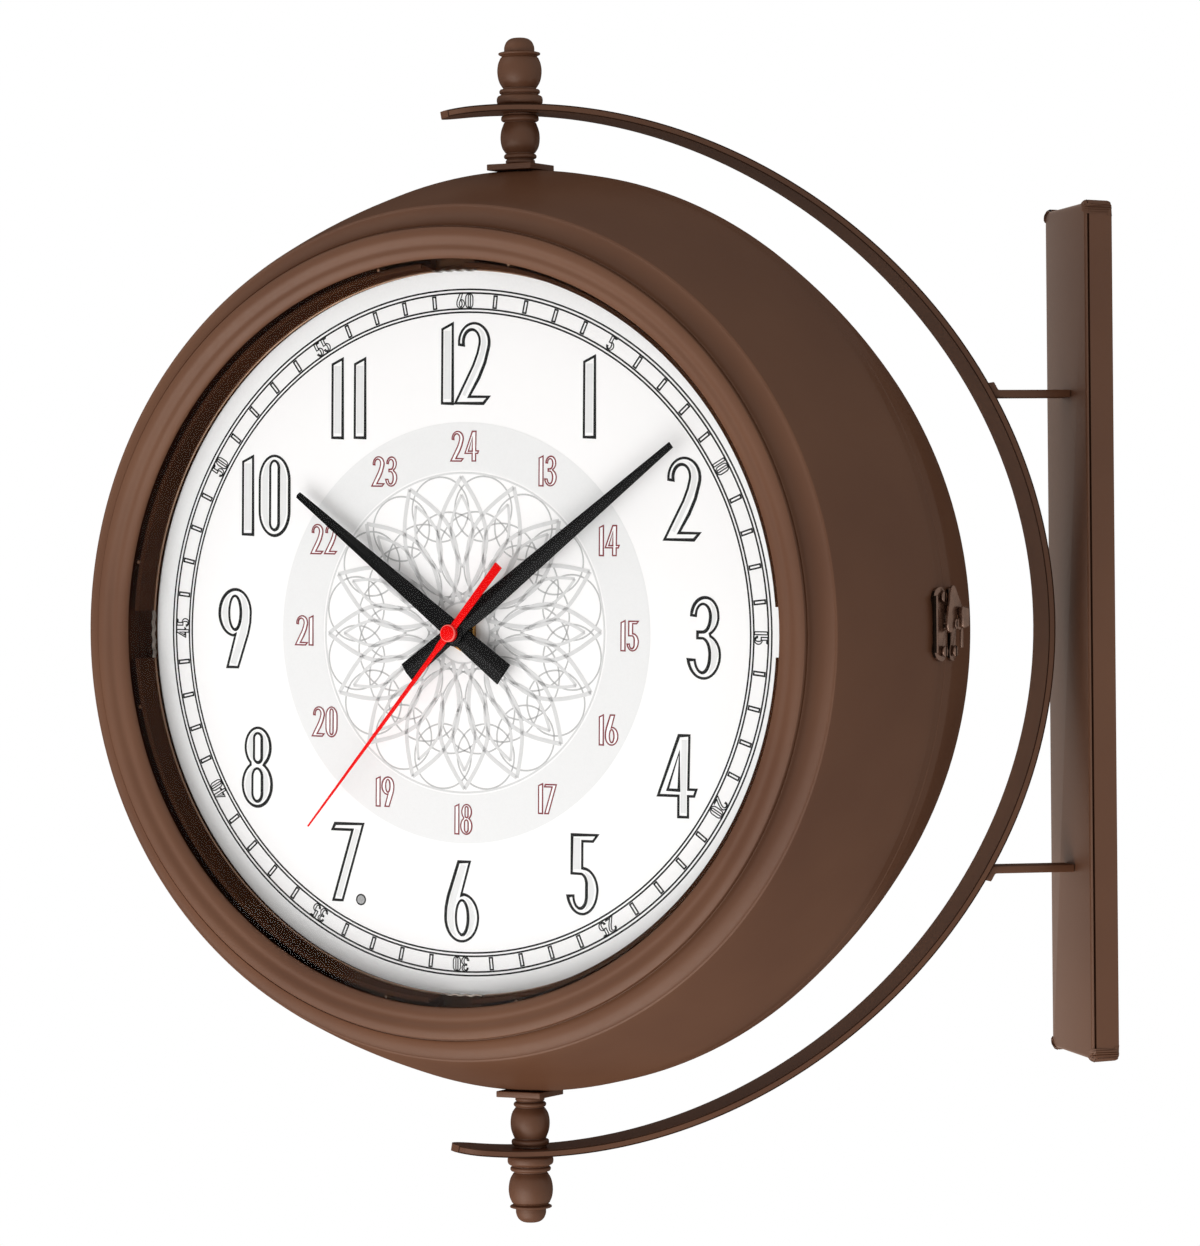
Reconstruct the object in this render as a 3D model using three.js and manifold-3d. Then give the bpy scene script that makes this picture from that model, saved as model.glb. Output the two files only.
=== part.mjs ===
// Double sided station clock. A round two-faced clock head turns on vertical pivots inside a
// semicircular flat-bar arc, which two struts hold off a tall channel on the wall.
//
// Millimetres, +Z up. The origin is the middle of the wall plate's back face, +X points into the
// wall, and -Y is the side that the clock is mostly seen from. The head is built in its own
// group, whose -Y is the front dial's normal, and is then turned on the pivot line.

import * as THREE from 'three';
import { mergeVertices } from 'three/addons/utils/BufferGeometryUtils.js';
import Module from 'manifold-3d';

const wasm = await Module();
wasm.setup();

// ---------------------------------------------------------------- driving dimensions
const seatGap = 0.3;              // between pieces that touch
const runGap = 0.3;               // round a piece that turns in another

// head case, from the seam inwards
const seamRadius = 193.7;
const bandHalf = 6.8;             // straight rim on each side of the seam
const wallTaper = 17.4;           // wall's run in from the seam to the bezel's outer edge
const edgeRadius = seamRadius - wallTaper;
const edgeOffset = 65.4;          // bezel's outer edge from the seam
const wallBulge = 0.9;
const coveWidth = 9.9;
const coveHeight = 8.9;
const creaseRadius = edgeRadius - coveWidth;
const creaseOffset = edgeOffset + coveHeight;
const beadWidth = 12.9;
const beadDrop = 2.5;             // lip below the crease
const beadRise = 1.6;             // bead's crown above its own edges
const lipRadius = creaseRadius - beadWidth;
const lipOffset = creaseOffset - beadDrop;
const caseSheet = 1.5;
const seamGap = 0.3;
const headTurn = 38.24;           // degrees from the arc's plane to the dials

// pivot columns, from the rim out to the arc
const pivotPlateSide = 21;
const pivotPlateSheet = 2.6;
const balusterHeight = 21.2;
const barSheet = 3;
const plateFoot = seamRadius + seatGap;
const plateTop = plateFoot + pivotPlateSheet;
const balusterFoot = plateTop + seatGap;
const balusterTop = balusterFoot + balusterHeight;
const arcUnderside = balusterTop + seatGap;
const arcTop = arcUnderside + barSheet;

// bent arc and struts
const barWidth = 25;
const arcDeepening = 3.4;         // deeper towards the wall, flatter over the pivots
const arcSquareness = 1.4;
const arcRadius = arcTop + arcDeepening - arcSquareness;
const arcEndReach = 34;           // bar's rounded end past the pivot line
const arcReach = arcRadius + arcDeepening + arcSquareness;
const strutWidth = 16;
const strutSheet = 3.2;
const strutSpan = seamRadius + 10.3;
const strutFoot = 7.5;            // foot bent along the arc

// wall channel and plate
const channelWidth = 62;
const channelHeight = 2 * seamRadius - 22.8;
const channelDepth = 12;
const arcStandOff = 9.1;          // arc's back to the channel's face
const pivotReach = arcReach + arcStandOff + channelDepth + seatGap;
const channelDrop = 2.8;          // channel's middle lies this far below the head's middle
const channelSheet = 1.5;
const channelCorner = 3;
const wallPlateSheet = 3;
const wallPlateInset = 12;        // wall plate's ends inside the channel's ends
const wallScrewRadius = 2.6;
const wallScrewInset = 22;        // screw holes from the wall plate's ends
const wallScrewSpread = 26;       // across the plate

// glass, ring and dial
const lensSheet = 2;
const lensOverlap = 3;            // glass under the bezel lip
const dialSink = 18.45;           // printed face below the lip
const dialOffset = lipOffset - dialSink;
const dialSheet = 1;
const dialRim = 14;               // dial beyond what the ring leaves open
const supportSheet = 1.5;
const supportRim = 9.5;           // support ring inside what the ring leaves open
const ringTopRadius = lipRadius - 1.5;
const ringFootRadius = ringTopRadius - 2.5;
const ringWall = 6;
const ringFlangeSheet = 3;
const pocketWidth = 17.5;
const pocketDepth = 3.2;
const pocketBridge = 2.2;

// movement, cell and hands
const movementSide = 56;
const movementDepth = 15.4;
const movementCorner = 4;
const postRadius = 4;
const postRise = 3.2;
const nutAcross = 13;
const nutSheet = 2.4;
const pipeRadius = 2.5;
const arborRadius = 1.6;
const secondPin = 0.8;
const cellRadius = 7.1;
const cellLength = 50;
const cellDrop = 17;              // cell's axis below the hands' axis
const cellSink = 4.4;             // cell's axis from the movement's back face
const knobRadius = 7;
const knobSheet = 3;
const knobLift = 10;
const hourReach = ringFootRadius - 54.5;
const hourTail = 28;
const hourWidth = 9.9;
const minuteReach = ringFootRadius - 23;
const minuteTail = 27;
const minuteWidth = 8.3;
const handTipWidth = 2.7;
const handSheet = 0.8;
const handRidge = 0.9;
const handRise = 5.4;             // hour hand above the dial
const handStep = 3;               // from one hand to the next
const secondReach = ringFootRadius - 43.8;
const secondTail = 36.5;
const secondWidth = 3.7;
const secondTipWidth = 0.9;
const capRadius = 3.6;
const capRise = 1.1;
const hourAngle = -52.35;         // clockwise from 12, seen from the front
const minuteAngle = 53.45;
const secondAngle = -139.5;

// pivots
const spindleRadius = 3;
const spindleInside = 16;         // rod inside the case
const spindleInFinial = 15;
const doublerSheet = 3;
const doublerWidth = 24;
const doublerDepth = 12.6;
const spindleNutAcross = 10;
const spindleNutHeight = 5;
const bushWall = 1.8;
const notchGap = 2;

// hinge and latch
const leafSheet = 1.4;
const leafHeight = 40;
const leafReach = 6.4;
const knuckleRadius = 3;
const hingePinRadius = 1.3;
const latchSheet = 1.2;
const latchMiddle = 2.2;
const latchHeight = 30;
const latchFrontReach = 11.4;
const latchRearReach = 8.6;
const latchScrewSpread = 22;
const latchFrontScrew = 5.4;
const latchRearScrew = 4.8;
const screwShank = 1.1;
const screwHead = 2.3;
const screwLength = 5;
const rollRadius = 1.2;
const rollHeight = 23;
const keepRadius = 1.6;
const keepY = -3.8;
const keepZ = 1.4;
const hookLift = 1;
const hookSheet = 1.6;
const rivetRadius = 1.4;
const rivetHead = 2.4;
const rivetY = 2.2;
const thumbNear = 3;
const thumbFar = 7;
const thumbRise = 3.2;

// round faces
const caseSides = 44;
const turnedSides = 16;
const smallSides = 16;

// ---------------------------------------------------------------- finishes
const finish = (color, roughness, metalness) => new THREE.MeshStandardMaterial({ color, roughness, metalness });
const bronzePaint = () => finish(0x5b4136, 0.45, 0.35);
const darkMoulding = () => finish(0x2f1c12, 0.5, 0.1);
const dialWhite = () => finish(0xf4f4f2, 0.6, 0);
const clearGlass = () => finish(0xe8f0f0, 0.05, 0);
const blackPaint = () => finish(0x151515, 0.4, 0.1);
const redPaint = () => finish(0xe80000, 0.4, 0);
const yellowBrass = () => finish(0xb0703c, 0.35, 0.9);
const plainSteel = () => finish(0x9a9a98, 0.4, 0.9);
const blackPlastic = () => finish(0x1c1c1e, 0.6, 0);
const whiteNylon = () => finish(0xe6e2d8, 0.6, 0);
const cellSleeve = () => finish(0x8c9096, 0.4, 0.3);

// ---------------------------------------------------------------- solids
const turn = (degrees) => (degrees * Math.PI) / 180;

// A closed geometry becomes a solid whose faces point out, whichever way it was wound.
function solid(geometry) {
  const bare = geometry.clone();
  bare.deleteAttribute('normal');
  bare.deleteAttribute('uv');
  const merged = mergeVertices(bare, 1e-4);
  const at = merged.attributes.position;
  const corners = Array.from(merged.index.array);
  const a = new THREE.Vector3();
  const b = new THREE.Vector3();
  const c = new THREE.Vector3();
  const kept = [];
  let volume = 0;
  for (let i = 0; i < corners.length; i += 3) {
    const [p, q, r] = corners.slice(i, i + 3);
    if (p === q || q === r || r === p) continue;
    a.fromBufferAttribute(at, p);
    b.fromBufferAttribute(at, q);
    c.fromBufferAttribute(at, r);
    volume += a.dot(b.cross(c));
    kept.push([p, q, r]);
  }
  const triVerts = new Uint32Array(kept.flatMap(([p, q, r]) => (volume < 0 ? [p, r, q] : [p, q, r])));
  const vertProperties = new Float32Array(at.array);
  return new wasm.Manifold(new wasm.Mesh({ numProp: 3, vertProperties, triVerts }));
}

function surface(manifold) {
  const mesh = manifold.getMesh();
  const geometry = new THREE.BufferGeometry();
  geometry.setAttribute('position', new THREE.BufferAttribute(new Float32Array(mesh.vertProperties), 3));
  geometry.setIndex(new THREE.BufferAttribute(new Uint32Array(mesh.triVerts), 1));
  geometry.computeVertexNormals();
  return geometry;
}

function place(parent, name, body, material) {
  const mesh = new THREE.Mesh(surface(body), material);
  mesh.name = name;
  parent.add(mesh);
  return mesh;
}

// Revolved about Z from [radius, height] points.
function turned(points, sides = turnedSides) {
  const outline = points.map(([radius, height]) => new THREE.Vector2(radius, height));
  return solid(new THREE.LatheGeometry(outline, sides).rotateX(Math.PI / 2));
}

// Revolved about the head's front-to-back line from [radius, offset] points, front at +offset.
function spun(points, sides = caseSides) {
  const outline = points.map(([radius, offset]) => new THREE.Vector2(radius, -offset));
  return solid(new THREE.LatheGeometry(outline, sides));
}

const ringOf = (inner, outer, low, high) => [
  [inner, low], [outer, low], [outer, high], [inner, high], [inner, low],
];

function upright(radius, low, high, x = 0, y = 0, sides = smallSides) {
  const shape = new THREE.CylinderGeometry(radius, radius, high - low, sides).rotateX(Math.PI / 2);
  return solid(shape.translate(x, y, (low + high) / 2));
}

function block(x0, x1, y0, y1, z0, z1) {
  const shape = new THREE.BoxGeometry(x1 - x0, y1 - y0, z1 - z0);
  return solid(shape.translate((x0 + x1) / 2, (y0 + y1) / 2, (z0 + z1) / 2));
}

// Outline drawn in [x, z], pushed along Y between two depths.
function slab(shape, near, far, steps = 8) {
  const body = new THREE.ExtrudeGeometry(shape, { depth: far - near, bevelEnabled: false, curveSegments: steps });
  return solid(body.rotateX(Math.PI / 2).translate(0, far, 0));
}

// Outline drawn in [y, z], pushed along X between two depths.
function sideSlab(shape, low, high, steps = 8) {
  const body = new THREE.ExtrudeGeometry(shape, { depth: high - low, bevelEnabled: false, curveSegments: steps });
  return solid(body.rotateX(Math.PI / 2).rotateZ(Math.PI / 2).translate(low, 0, 0));
}

function roundedRectangle(width, height, corner, middleX = 0, middleY = 0) {
  const shape = new THREE.Shape();
  const x = width / 2 - corner;
  const y = height / 2 - corner;
  shape.absarc(middleX + x, middleY + y, corner, 0, turn(90));
  shape.absarc(middleX - x, middleY + y, corner, turn(90), turn(180));
  shape.absarc(middleX - x, middleY - y, corner, turn(180), turn(270));
  shape.absarc(middleX + x, middleY - y, corner, turn(270), turn(360));
  return shape;
}

function polygon(points) {
  return new THREE.Shape(points.map(([x, y]) => new THREE.Vector2(x, y)));
}

// Lofted between sections with the same number of corners, closed at both ends.
function loft(sections) {
  const count = sections[0].length;
  const positions = sections.flat(2);
  const index = [];
  for (let row = 0; row < sections.length - 1; row += 1) {
    for (let k = 0; k < count; k += 1) {
      const a = row * count + k;
      const b = row * count + ((k + 1) % count);
      index.push(a, b, b + count, a, b + count, a + count);
    }
  }
  const last = (sections.length - 1) * count;
  for (let k = 1; k < count - 1; k += 1) {
    index.push(0, k + 1, k, last, last + k, last + k + 1);
  }
  const geometry = new THREE.BufferGeometry();
  geometry.setAttribute('position', new THREE.BufferAttribute(new Float32Array(positions), 3));
  geometry.setIndex(index);
  return solid(geometry);
}

// ---------------------------------------------------------------- wall plate and channel
const clock = new THREE.Group();
const bracket = new THREE.Group();
clock.add(bracket);

const channelFace = -channelDepth - seatGap;

function buildWallChannel() {
  const outer = roundedRectangle(channelWidth, channelHeight, channelCorner, 0, -channelDrop);
  const inner = roundedRectangle(
    channelWidth - 2 * channelSheet,
    channelHeight - 2 * channelSheet,
    channelCorner - channelSheet,
    0,
    -channelDrop,
  );
  const shell = sideSlab(outer, channelFace, -seatGap, 4)
    .subtract(sideSlab(inner, channelFace + channelSheet, 1, 4));
  place(bracket, 'back_channel', shell, bronzePaint());

  const plateHeight = channelHeight - 2 * wallPlateInset;
  const plateWidth = channelWidth - 2 * channelSheet - 2 * seatGap;
  let plate = sideSlab(roundedRectangle(plateWidth, plateHeight, channelCorner, 0, -channelDrop), -wallPlateSheet, 0, 3);
  for (const y of [-wallScrewSpread / 2, wallScrewSpread / 2]) {
    for (const end of [-1, 1]) {
      const z = end * (plateHeight / 2 - wallScrewInset) - channelDrop;
      const hole = new THREE.CylinderGeometry(wallScrewRadius, wallScrewRadius, 4 * wallPlateSheet, smallSides);
      plate = plate.subtract(solid(hole.rotateZ(Math.PI / 2).translate(0, y, z)));
    }
  }
  place(bracket, 'wall_plate', plate, plainSteel());
}

// ---------------------------------------------------------------- arc, measured from the pivot line
function arcOuter(angle) {
  const radius = arcRadius + arcDeepening * Math.cos(2 * angle) + arcSquareness * Math.cos(4 * angle);
  return new THREE.Vector2(radius * Math.cos(angle), radius * Math.sin(angle));
}

function arcNormal(angle) {
  const step = 1e-4;
  const along = arcOuter(angle + step).sub(arcOuter(angle - step)).normalize();
  return new THREE.Vector2(along.y, -along.x);
}

const bushOuter = spindleRadius + runGap + bushWall;

function buildArc() {
  const sweep = Math.PI / 2 + (arcEndReach + 3) / arcRadius;
  const steps = 44;
  const outline = [];
  for (let i = 0; i <= steps; i += 1) {
    const point = arcOuter(-sweep + (2 * sweep * i) / steps);
    outline.push([point.x, point.y]);
  }
  for (let i = steps; i >= 0; i -= 1) {
    const angle = -sweep + (2 * sweep * i) / steps;
    const point = arcOuter(angle).addScaledVector(arcNormal(angle), -barSheet);
    outline.push([point.x, point.y]);
  }
  const bar = slab(polygon(outline), -barWidth / 2, barWidth / 2);

  // Plan of the bar, with full round ends beyond the pivots.
  const plan = new THREE.Shape();
  const roundX = -arcEndReach + barWidth / 2;
  plan.moveTo(arcRadius + 20, -barWidth);
  plan.lineTo(arcRadius + 20, barWidth);
  plan.lineTo(roundX, barWidth);
  plan.lineTo(roundX, barWidth / 2);
  plan.absarc(roundX, 0, barWidth / 2, turn(90), turn(270));
  plan.lineTo(roundX, -barWidth);
  const tall = new THREE.ExtrudeGeometry(plan, { depth: 3 * arcRadius, bevelEnabled: false, curveSegments: 12 });
  let arc = bar.intersect(solid(tall.translate(0, 0, -1.5 * arcRadius)));
  for (const end of [-1, 1]) {
    const hole = upright(bushOuter + seatGap, arcUnderside - 10, arcTop + 10, 0, 0, turnedSides);
    arc = arc.subtract(end > 0 ? hole : hole.rotate([180, 0, 0]));
  }
  place(bracket, 'bracket_arc', arc.translate([-pivotReach, 0, 0]), bronzePaint());
}

// ---------------------------------------------------------------- struts
// The angle at which a strut's middle line meets the foot's middle line, found by halving.
function strutAngle(height) {
  const stand = seatGap + strutSheet / 2;
  let low = -Math.PI / 2;
  let high = Math.PI / 2;
  for (let i = 0; i < 40; i += 1) {
    const middle = (low + high) / 2;
    const z = arcOuter(middle).addScaledVector(arcNormal(middle), stand).y;
    if (z < height) low = middle;
    else high = middle;
  }
  return low;
}

function buildStrut(name, side) {
  const height = (side * strutSpan) / 2 - channelDrop;
  const angle = strutAngle(height);
  const normal = arcNormal(angle);
  const bend = arcOuter(angle).addScaledVector(normal, seatGap + strutSheet / 2);
  const along = new THREE.Vector2(-normal.y, normal.x).multiplyScalar(side);
  const wallEnd = pivotReach + channelFace - seatGap;
  const half = strutSheet / 2;

  // Mitred strip: along the bar to the bend, then along the foot.
  const miter = new THREE.Vector2(-1, 0).sub(along).normalize();
  const reach = half / Math.abs(miter.y);
  const outerBend = bend.clone().addScaledVector(miter, -reach * Math.sign(miter.y) * side);
  const innerBend = bend.clone().addScaledVector(miter, reach * Math.sign(miter.y) * side);
  const footEnd = bend.clone().addScaledVector(along, strutFoot);
  const [upperBend, lowerBend] = [outerBend, innerBend].sort((p, q) => (q.y - p.y) * side);
  const outline = [
    [wallEnd, height - half * side],
    [wallEnd, height + half * side],
    [upperBend.x, upperBend.y],
    [footEnd.x + normal.x * half, footEnd.y + normal.y * half],
    [footEnd.x - normal.x * half, footEnd.y - normal.y * half],
    [lowerBend.x, lowerBend.y],
  ];
  const strut = slab(polygon(outline), -strutWidth / 2, strutWidth / 2);
  place(bracket, name, strut.translate([-pivotReach, 0, 0]), bronzePaint());
}

// ---------------------------------------------------------------- pivots, drawn for the top end
const rimInside = (seamRadius - caseSheet) * Math.cos(Math.PI / caseSides);
const doublerTop = Math.sqrt(rimInside ** 2 - (doublerWidth / 2) ** 2) - seatGap;
const doublerFoot = doublerTop - doublerSheet;
const finialFoot = arcTop + seatGap;
const boreRadius = spindleRadius + runGap;
const spindleFoot = seamRadius - spindleInside;
const spindleTop = finialFoot + spindleInFinial;

// Turned outline of the cap nut: ring, barrel, brim and dome, with its blind bore.
function finialSolid() {
  const z = finialFoot;
  const outline = [
    [0, z + spindleInFinial + seatGap], [boreRadius, z + spindleInFinial + seatGap], [boreRadius, z], [8.4, z],
    [9.2, z + 1.2], [9.5, z + 3.4], [9.2, z + 5.6], [8.2, z + 6.7],
    [7.4, z + 7.1], [8.7, z + 9.9], [9.4, z + 13.9], [9, z + 17.3], [7.6, z + 20.3],
    [8.5, z + 20.6], [8.75, z + 21.6], [8.5, z + 22.8], [6.3, z + 23],
    [5.8, z + 25.2], [4.4, z + 27.1], [2.3, z + 28.1], [0, z + 28.4],
  ];
  return turned(outline);
}

// Turned spacer between the arc and the pivot plate: two small rings, barrel, and ring.
function balusterSolid() {
  const z = balusterFoot;
  const top = balusterTop;
  const outline = [
    [boreRadius, z], [5.6, z], [6, z + 0.8], [5.9, z + 1.7],
    [6.5, z + 2.4], [6.7, z + 3.3], [6.3, z + 4.4],
    [7.5, z + 6.6], [8.2, z + 10.6], [8, z + 14], [7, top - 3.2],
    [7.6, top - 2.6], [7.8, top - 1.5], [7.4, top], [boreRadius, top], [boreRadius, z],
  ];
  return turned(outline);
}

function hexNut(across, low, high, bore) {
  const body = upright(across / Math.sqrt(3), low, high, 0, 0, 6);
  return body.subtract(upright(bore, low - 1, high + 1));
}

function pivotPlateSolid() {
  const outline = roundedRectangle(pivotPlateSide, pivotPlateSide, 2);
  const body = new THREE.ExtrudeGeometry(outline, { depth: pivotPlateSheet, bevelEnabled: false, curveSegments: 3 });
  const bore = upright(boreRadius, plateFoot - 1, plateTop + 1);
  return solid(body.translate(0, 0, plateFoot)).subtract(bore);
}

function doublerSolid() {
  const body = block(-doublerWidth / 2, doublerWidth / 2, -doublerDepth / 2, doublerDepth / 2, doublerFoot, doublerTop);
  return body.subtract(upright(boreRadius, doublerFoot - 1, doublerTop + 1));
}

// ---------------------------------------------------------------- case
const lipUnderside = lipOffset - caseSheet;

// Stations down the flaring wall, [radius, offset from the seam], with its slight bulge.
const wallStations = [];
for (let i = 0; i <= 3; i += 1) {
  const share = i / 3;
  const radius = edgeRadius + (seamRadius - edgeRadius) * share + wallBulge * Math.sin(Math.PI * share);
  wallStations.push([radius, edgeOffset - (edgeOffset - bandHalf) * share]);
}

// Outside of the wall between two stations.
function wallRadius(offset) {
  const next = Math.max(1, wallStations.findIndex((station) => station[1] <= offset));
  const [nearRadius, near] = wallStations[next - 1];
  const [farRadius, far] = wallStations[next];
  return nearRadius + ((farRadius - nearRadius) * (near - offset)) / (near - far);
}

// One spun half: lip, bead, crease, cove, outer edge, flaring wall and straight rim.
function caseProfile() {
  const outside = [[lipRadius, lipUnderside], [lipRadius, lipOffset]];
  const beadSteps = 4;
  for (let i = 1; i < beadSteps; i += 1) {
    const share = i / beadSteps;
    const radius = lipRadius + (creaseRadius - lipRadius) * share;
    const offset = lipOffset + (creaseOffset - lipOffset) * share + beadRise * Math.sin(Math.PI * share);
    outside.push([radius, offset]);
  }
  outside.push([creaseRadius, creaseOffset], [creaseRadius + 0.5, creaseOffset - 1.2]);
  const coveSteps = 3;
  for (let i = 1; i <= coveSteps; i += 1) {
    const swing = (Math.PI / 2) * (i / coveSteps);
    const radius = creaseRadius + 0.5 + (edgeRadius - creaseRadius - 0.5) * (1 - Math.cos(swing));
    const offset = creaseOffset - 1.2 - (creaseOffset - 1.2 - edgeOffset) * Math.sin(swing);
    outside.push([radius, offset]);
  }
  outside.push(...wallStations.slice(1), [seamRadius, seamGap / 2]);

  const inside = [[seamRadius - caseSheet, seamGap / 2]];
  for (const [radius, offset] of wallStations.slice(1).reverse()) inside.push([radius - caseSheet, offset]);
  inside.push(
    [edgeRadius - caseSheet, edgeOffset - caseSheet],
    [creaseRadius, edgeOffset + 1.6],
    [creaseRadius - 1, creaseOffset - caseSheet - 0.6],
    [(lipRadius + creaseRadius) / 2, (lipOffset + creaseOffset) / 2 + beadRise - caseSheet],
    [lipRadius + lensOverlap + 2, lipUnderside + 0.4],
    [lipRadius, lipUnderside],
  );
  return outside.concat(inside);
}

// Half-round notches in the rim leave room for the pivot rods.
function caseHalf() {
  const notch = spindleRadius + notchGap;
  const cuts = upright(notch, seamRadius - 20, seamRadius + 5)
    .add(upright(notch, -seamRadius - 5, -seamRadius + 20));
  return spun(caseProfile()).subtract(cuts);
}

// ---------------------------------------------------------------- one side's glass, dial and works
const lensTop = lipUnderside - seatGap;
const lensFoot = lensTop - lensSheet;
const ringTop = lensFoot - seatGap;
const ringFoot = dialOffset + seatGap;
const dialBack = dialOffset - dialSheet;
const supportTop = dialBack - seatGap;
const supportFoot = supportTop - supportSheet;
const movementFace = dialBack - seatGap;
const movementBack = movementFace - movementDepth;
const postTop = dialOffset + postRise;

function lensRingSolid() {
  const flangeOffset = ringFoot + ringFlangeSheet;
  const flangeRadius = wallRadius(flangeOffset) - caseSheet - seatGap;
  const outline = [
    [ringFootRadius, ringFoot], [flangeRadius, ringFoot], [flangeRadius, flangeOffset],
    [ringTopRadius + ringWall, flangeOffset], [ringTopRadius + ringWall, ringTop],
    [ringTopRadius, ringTop], [ringFootRadius, ringFoot],
  ];
  let ring = spun(outline);
  const inner = ringFootRadius + 1.5;
  for (let quarter = 0; quarter < 4; quarter += 1) {
    const pocket = block(-pocketWidth / 2, pocketWidth / 2, -ringTop - 1, -ringFoot - pocketBridge, inner - 4, ringTopRadius + pocketDepth)
      .add(block(-pocketWidth / 2, pocketWidth / 2, -ringTop, -ringFoot + 1, inner, ringTopRadius + pocketDepth));
    ring = ring.subtract(pocket.rotate([0, 90 * quarter, 0]));
  }
  return ring;
}

function movementSolid() {
  const outline = roundedRectangle(movementSide, movementSide, movementCorner);
  let body = slab(outline, -movementFace, -movementBack, 3);
  const bay = new THREE.CylinderGeometry(cellRadius + seatGap, cellRadius + seatGap, cellLength + 2 * seatGap, smallSides);
  body = body.subtract(solid(bay.rotateZ(Math.PI / 2).translate(0, -movementBack - cellSink, -cellDrop)));
  const hourOffset = dialOffset + handRise;
  const shaft = spun([
    [0, movementFace - 1], [postRadius, movementFace - 1], [postRadius, postTop],
    [pipeRadius, postTop], [pipeRadius, hourOffset + handSheet],
    [arborRadius, hourOffset + handSheet], [arborRadius, hourOffset + handStep + handSheet],
    [secondPin, hourOffset + handStep + handSheet], [secondPin, hourOffset + 2 * handStep - seatGap],
    [0, hourOffset + 2 * handStep - seatGap],
  ], smallSides);
  return body.add(shaft);
}

// Folded hand along +Z: a flat underside and a ridge down the middle.
function ridgedBlade(stations, offset) {
  const sections = stations.map(([along, width]) => [
    [-width / 2, -offset, along],
    [width / 2, -offset, along],
    [width / 2, -offset - handSheet, along],
    [0, -offset - handSheet - handRidge, along],
    [-width / 2, -offset - handSheet, along],
  ]);
  return loft(sections);
}

function disc(radius, low, high, sides = turnedSides) {
  return spun([[0, low], [radius, low], [radius, high], [0, high]], sides);
}

function handSolid(stations, hub, bore, offset) {
  const top = offset + handSheet + handRidge;
  return ridgedBlade(stations, offset)
    .add(disc(hub, offset, top))
    .subtract(disc(bore, offset - 1, top + 1, smallSides));
}

function secondHandSolid(offset) {
  const outline = polygon([
    [-secondWidth / 2, -secondTail], [secondWidth / 2, -secondTail],
    [secondTipWidth / 2, secondReach], [-secondTipWidth / 2, secondReach],
  ]);
  return slab(outline, -offset - handSheet, -offset).add(disc(capRadius, offset, offset + handSheet + capRise));
}

function buildSide(head, side, yaw) {
  const set = new THREE.Group();
  set.rotation.z = yaw;
  head.add(set);

  place(set, `${side}_lens`, disc(lipRadius + lensOverlap, lensFoot, lensTop, caseSides), clearGlass());
  place(set, `${side}_lens_ring`, lensRingSolid(), darkMoulding());

  const dialHole = disc(postRadius + seatGap, dialBack - 1, dialOffset + 1, smallSides);
  const dial = disc(ringFootRadius + dialRim, dialBack, dialOffset, caseSides).subtract(dialHole);
  place(set, `${side}_dial`, dial, dialWhite());

  const supportRadius = wallRadius(supportTop) - caseSheet - seatGap;
  const support = spun(ringOf(ringFootRadius - supportRim, supportRadius, supportFoot, supportTop));
  place(set, `${side}_dial_support`, support, plainSteel());

  place(set, `${side}_movement`, movementSolid(), blackPlastic());
  const nut = hexNut(nutAcross, 0, nutSheet, postRadius + seatGap);
  place(set, `${side}_movement_nut`, nut.rotate([90, 0, 0]).translate([0, -dialOffset - seatGap, 0]), yellowBrass());

  const cell = new THREE.CylinderGeometry(cellRadius, cellRadius, cellLength, smallSides).rotateZ(Math.PI / 2);
  place(set, `${side}_battery`, solid(cell.translate(0, -movementBack - cellSink, -cellDrop)), cellSleeve());
  const knob = disc(knobRadius, movementBack - seatGap - knobSheet, movementBack - seatGap);
  place(set, `${side}_set_knob`, knob.translate([0, 0, knobLift]), whiteNylon());

  const hourOffset = dialOffset + handRise;
  const hour = handSolid(
    [[-hourTail, hourWidth], [hourReach, handTipWidth]],
    5.6,
    pipeRadius + seatGap,
    hourOffset,
  );
  place(set, `${side}_hour_hand`, hour.rotate([0, hourAngle, 0]), blackPaint());
  const minute = handSolid(
    [[-minuteTail, minuteWidth], [0, minuteWidth * 0.8], [20, minuteWidth], [minuteReach, handTipWidth]],
    5.2,
    arborRadius + seatGap,
    hourOffset + handStep,
  );
  place(set, `${side}_minute_hand`, minute.rotate([0, minuteAngle, 0]), blackPaint());
  const second = secondHandSolid(hourOffset + 2 * handStep);
  place(set, `${side}_second_hand`, second.rotate([0, secondAngle, 0]), redPaint());
}

// ---------------------------------------------------------------- hinge on the side away from the latch
const leafRadius = seamRadius + seatGap;
const hingeRadius = leafRadius + knuckleRadius;

function knuckle(low, high) {
  return upright(knuckleRadius, low, high, -hingeRadius, 0, turnedSides);
}

function hingeLeaf(side) {
  const low = side > 0 ? 0.6 : -leafReach;
  const high = side > 0 ? leafReach : -0.6;
  const band = spun(ringOf(leafRadius, leafRadius + leafSheet, low, high));
  const half = leafHeight / 2;
  const middle = leafHeight / 5;
  const window = block(-seamRadius - 20, 0, -leafReach - 1, leafReach + 1, -half, half);
  const own = side > 0
    ? knuckle(-middle, middle)
    : knuckle(middle + seatGap, half).add(knuckle(-half, -middle - seatGap));
  const clear = side > 0
    ? upright(knuckleRadius + runGap, middle, half + 1, -hingeRadius, 0, turnedSides)
      .add(upright(knuckleRadius + runGap, -half - 1, -middle, -hingeRadius, 0, turnedSides))
    : upright(knuckleRadius + runGap, -middle - seatGap, middle + seatGap, -hingeRadius, 0, turnedSides);
  const bore = upright(hingePinRadius + runGap, -half - 1, half + 1, -hingeRadius, 0);
  return band.intersect(window).subtract(clear).add(own).subtract(bore);
}

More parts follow.
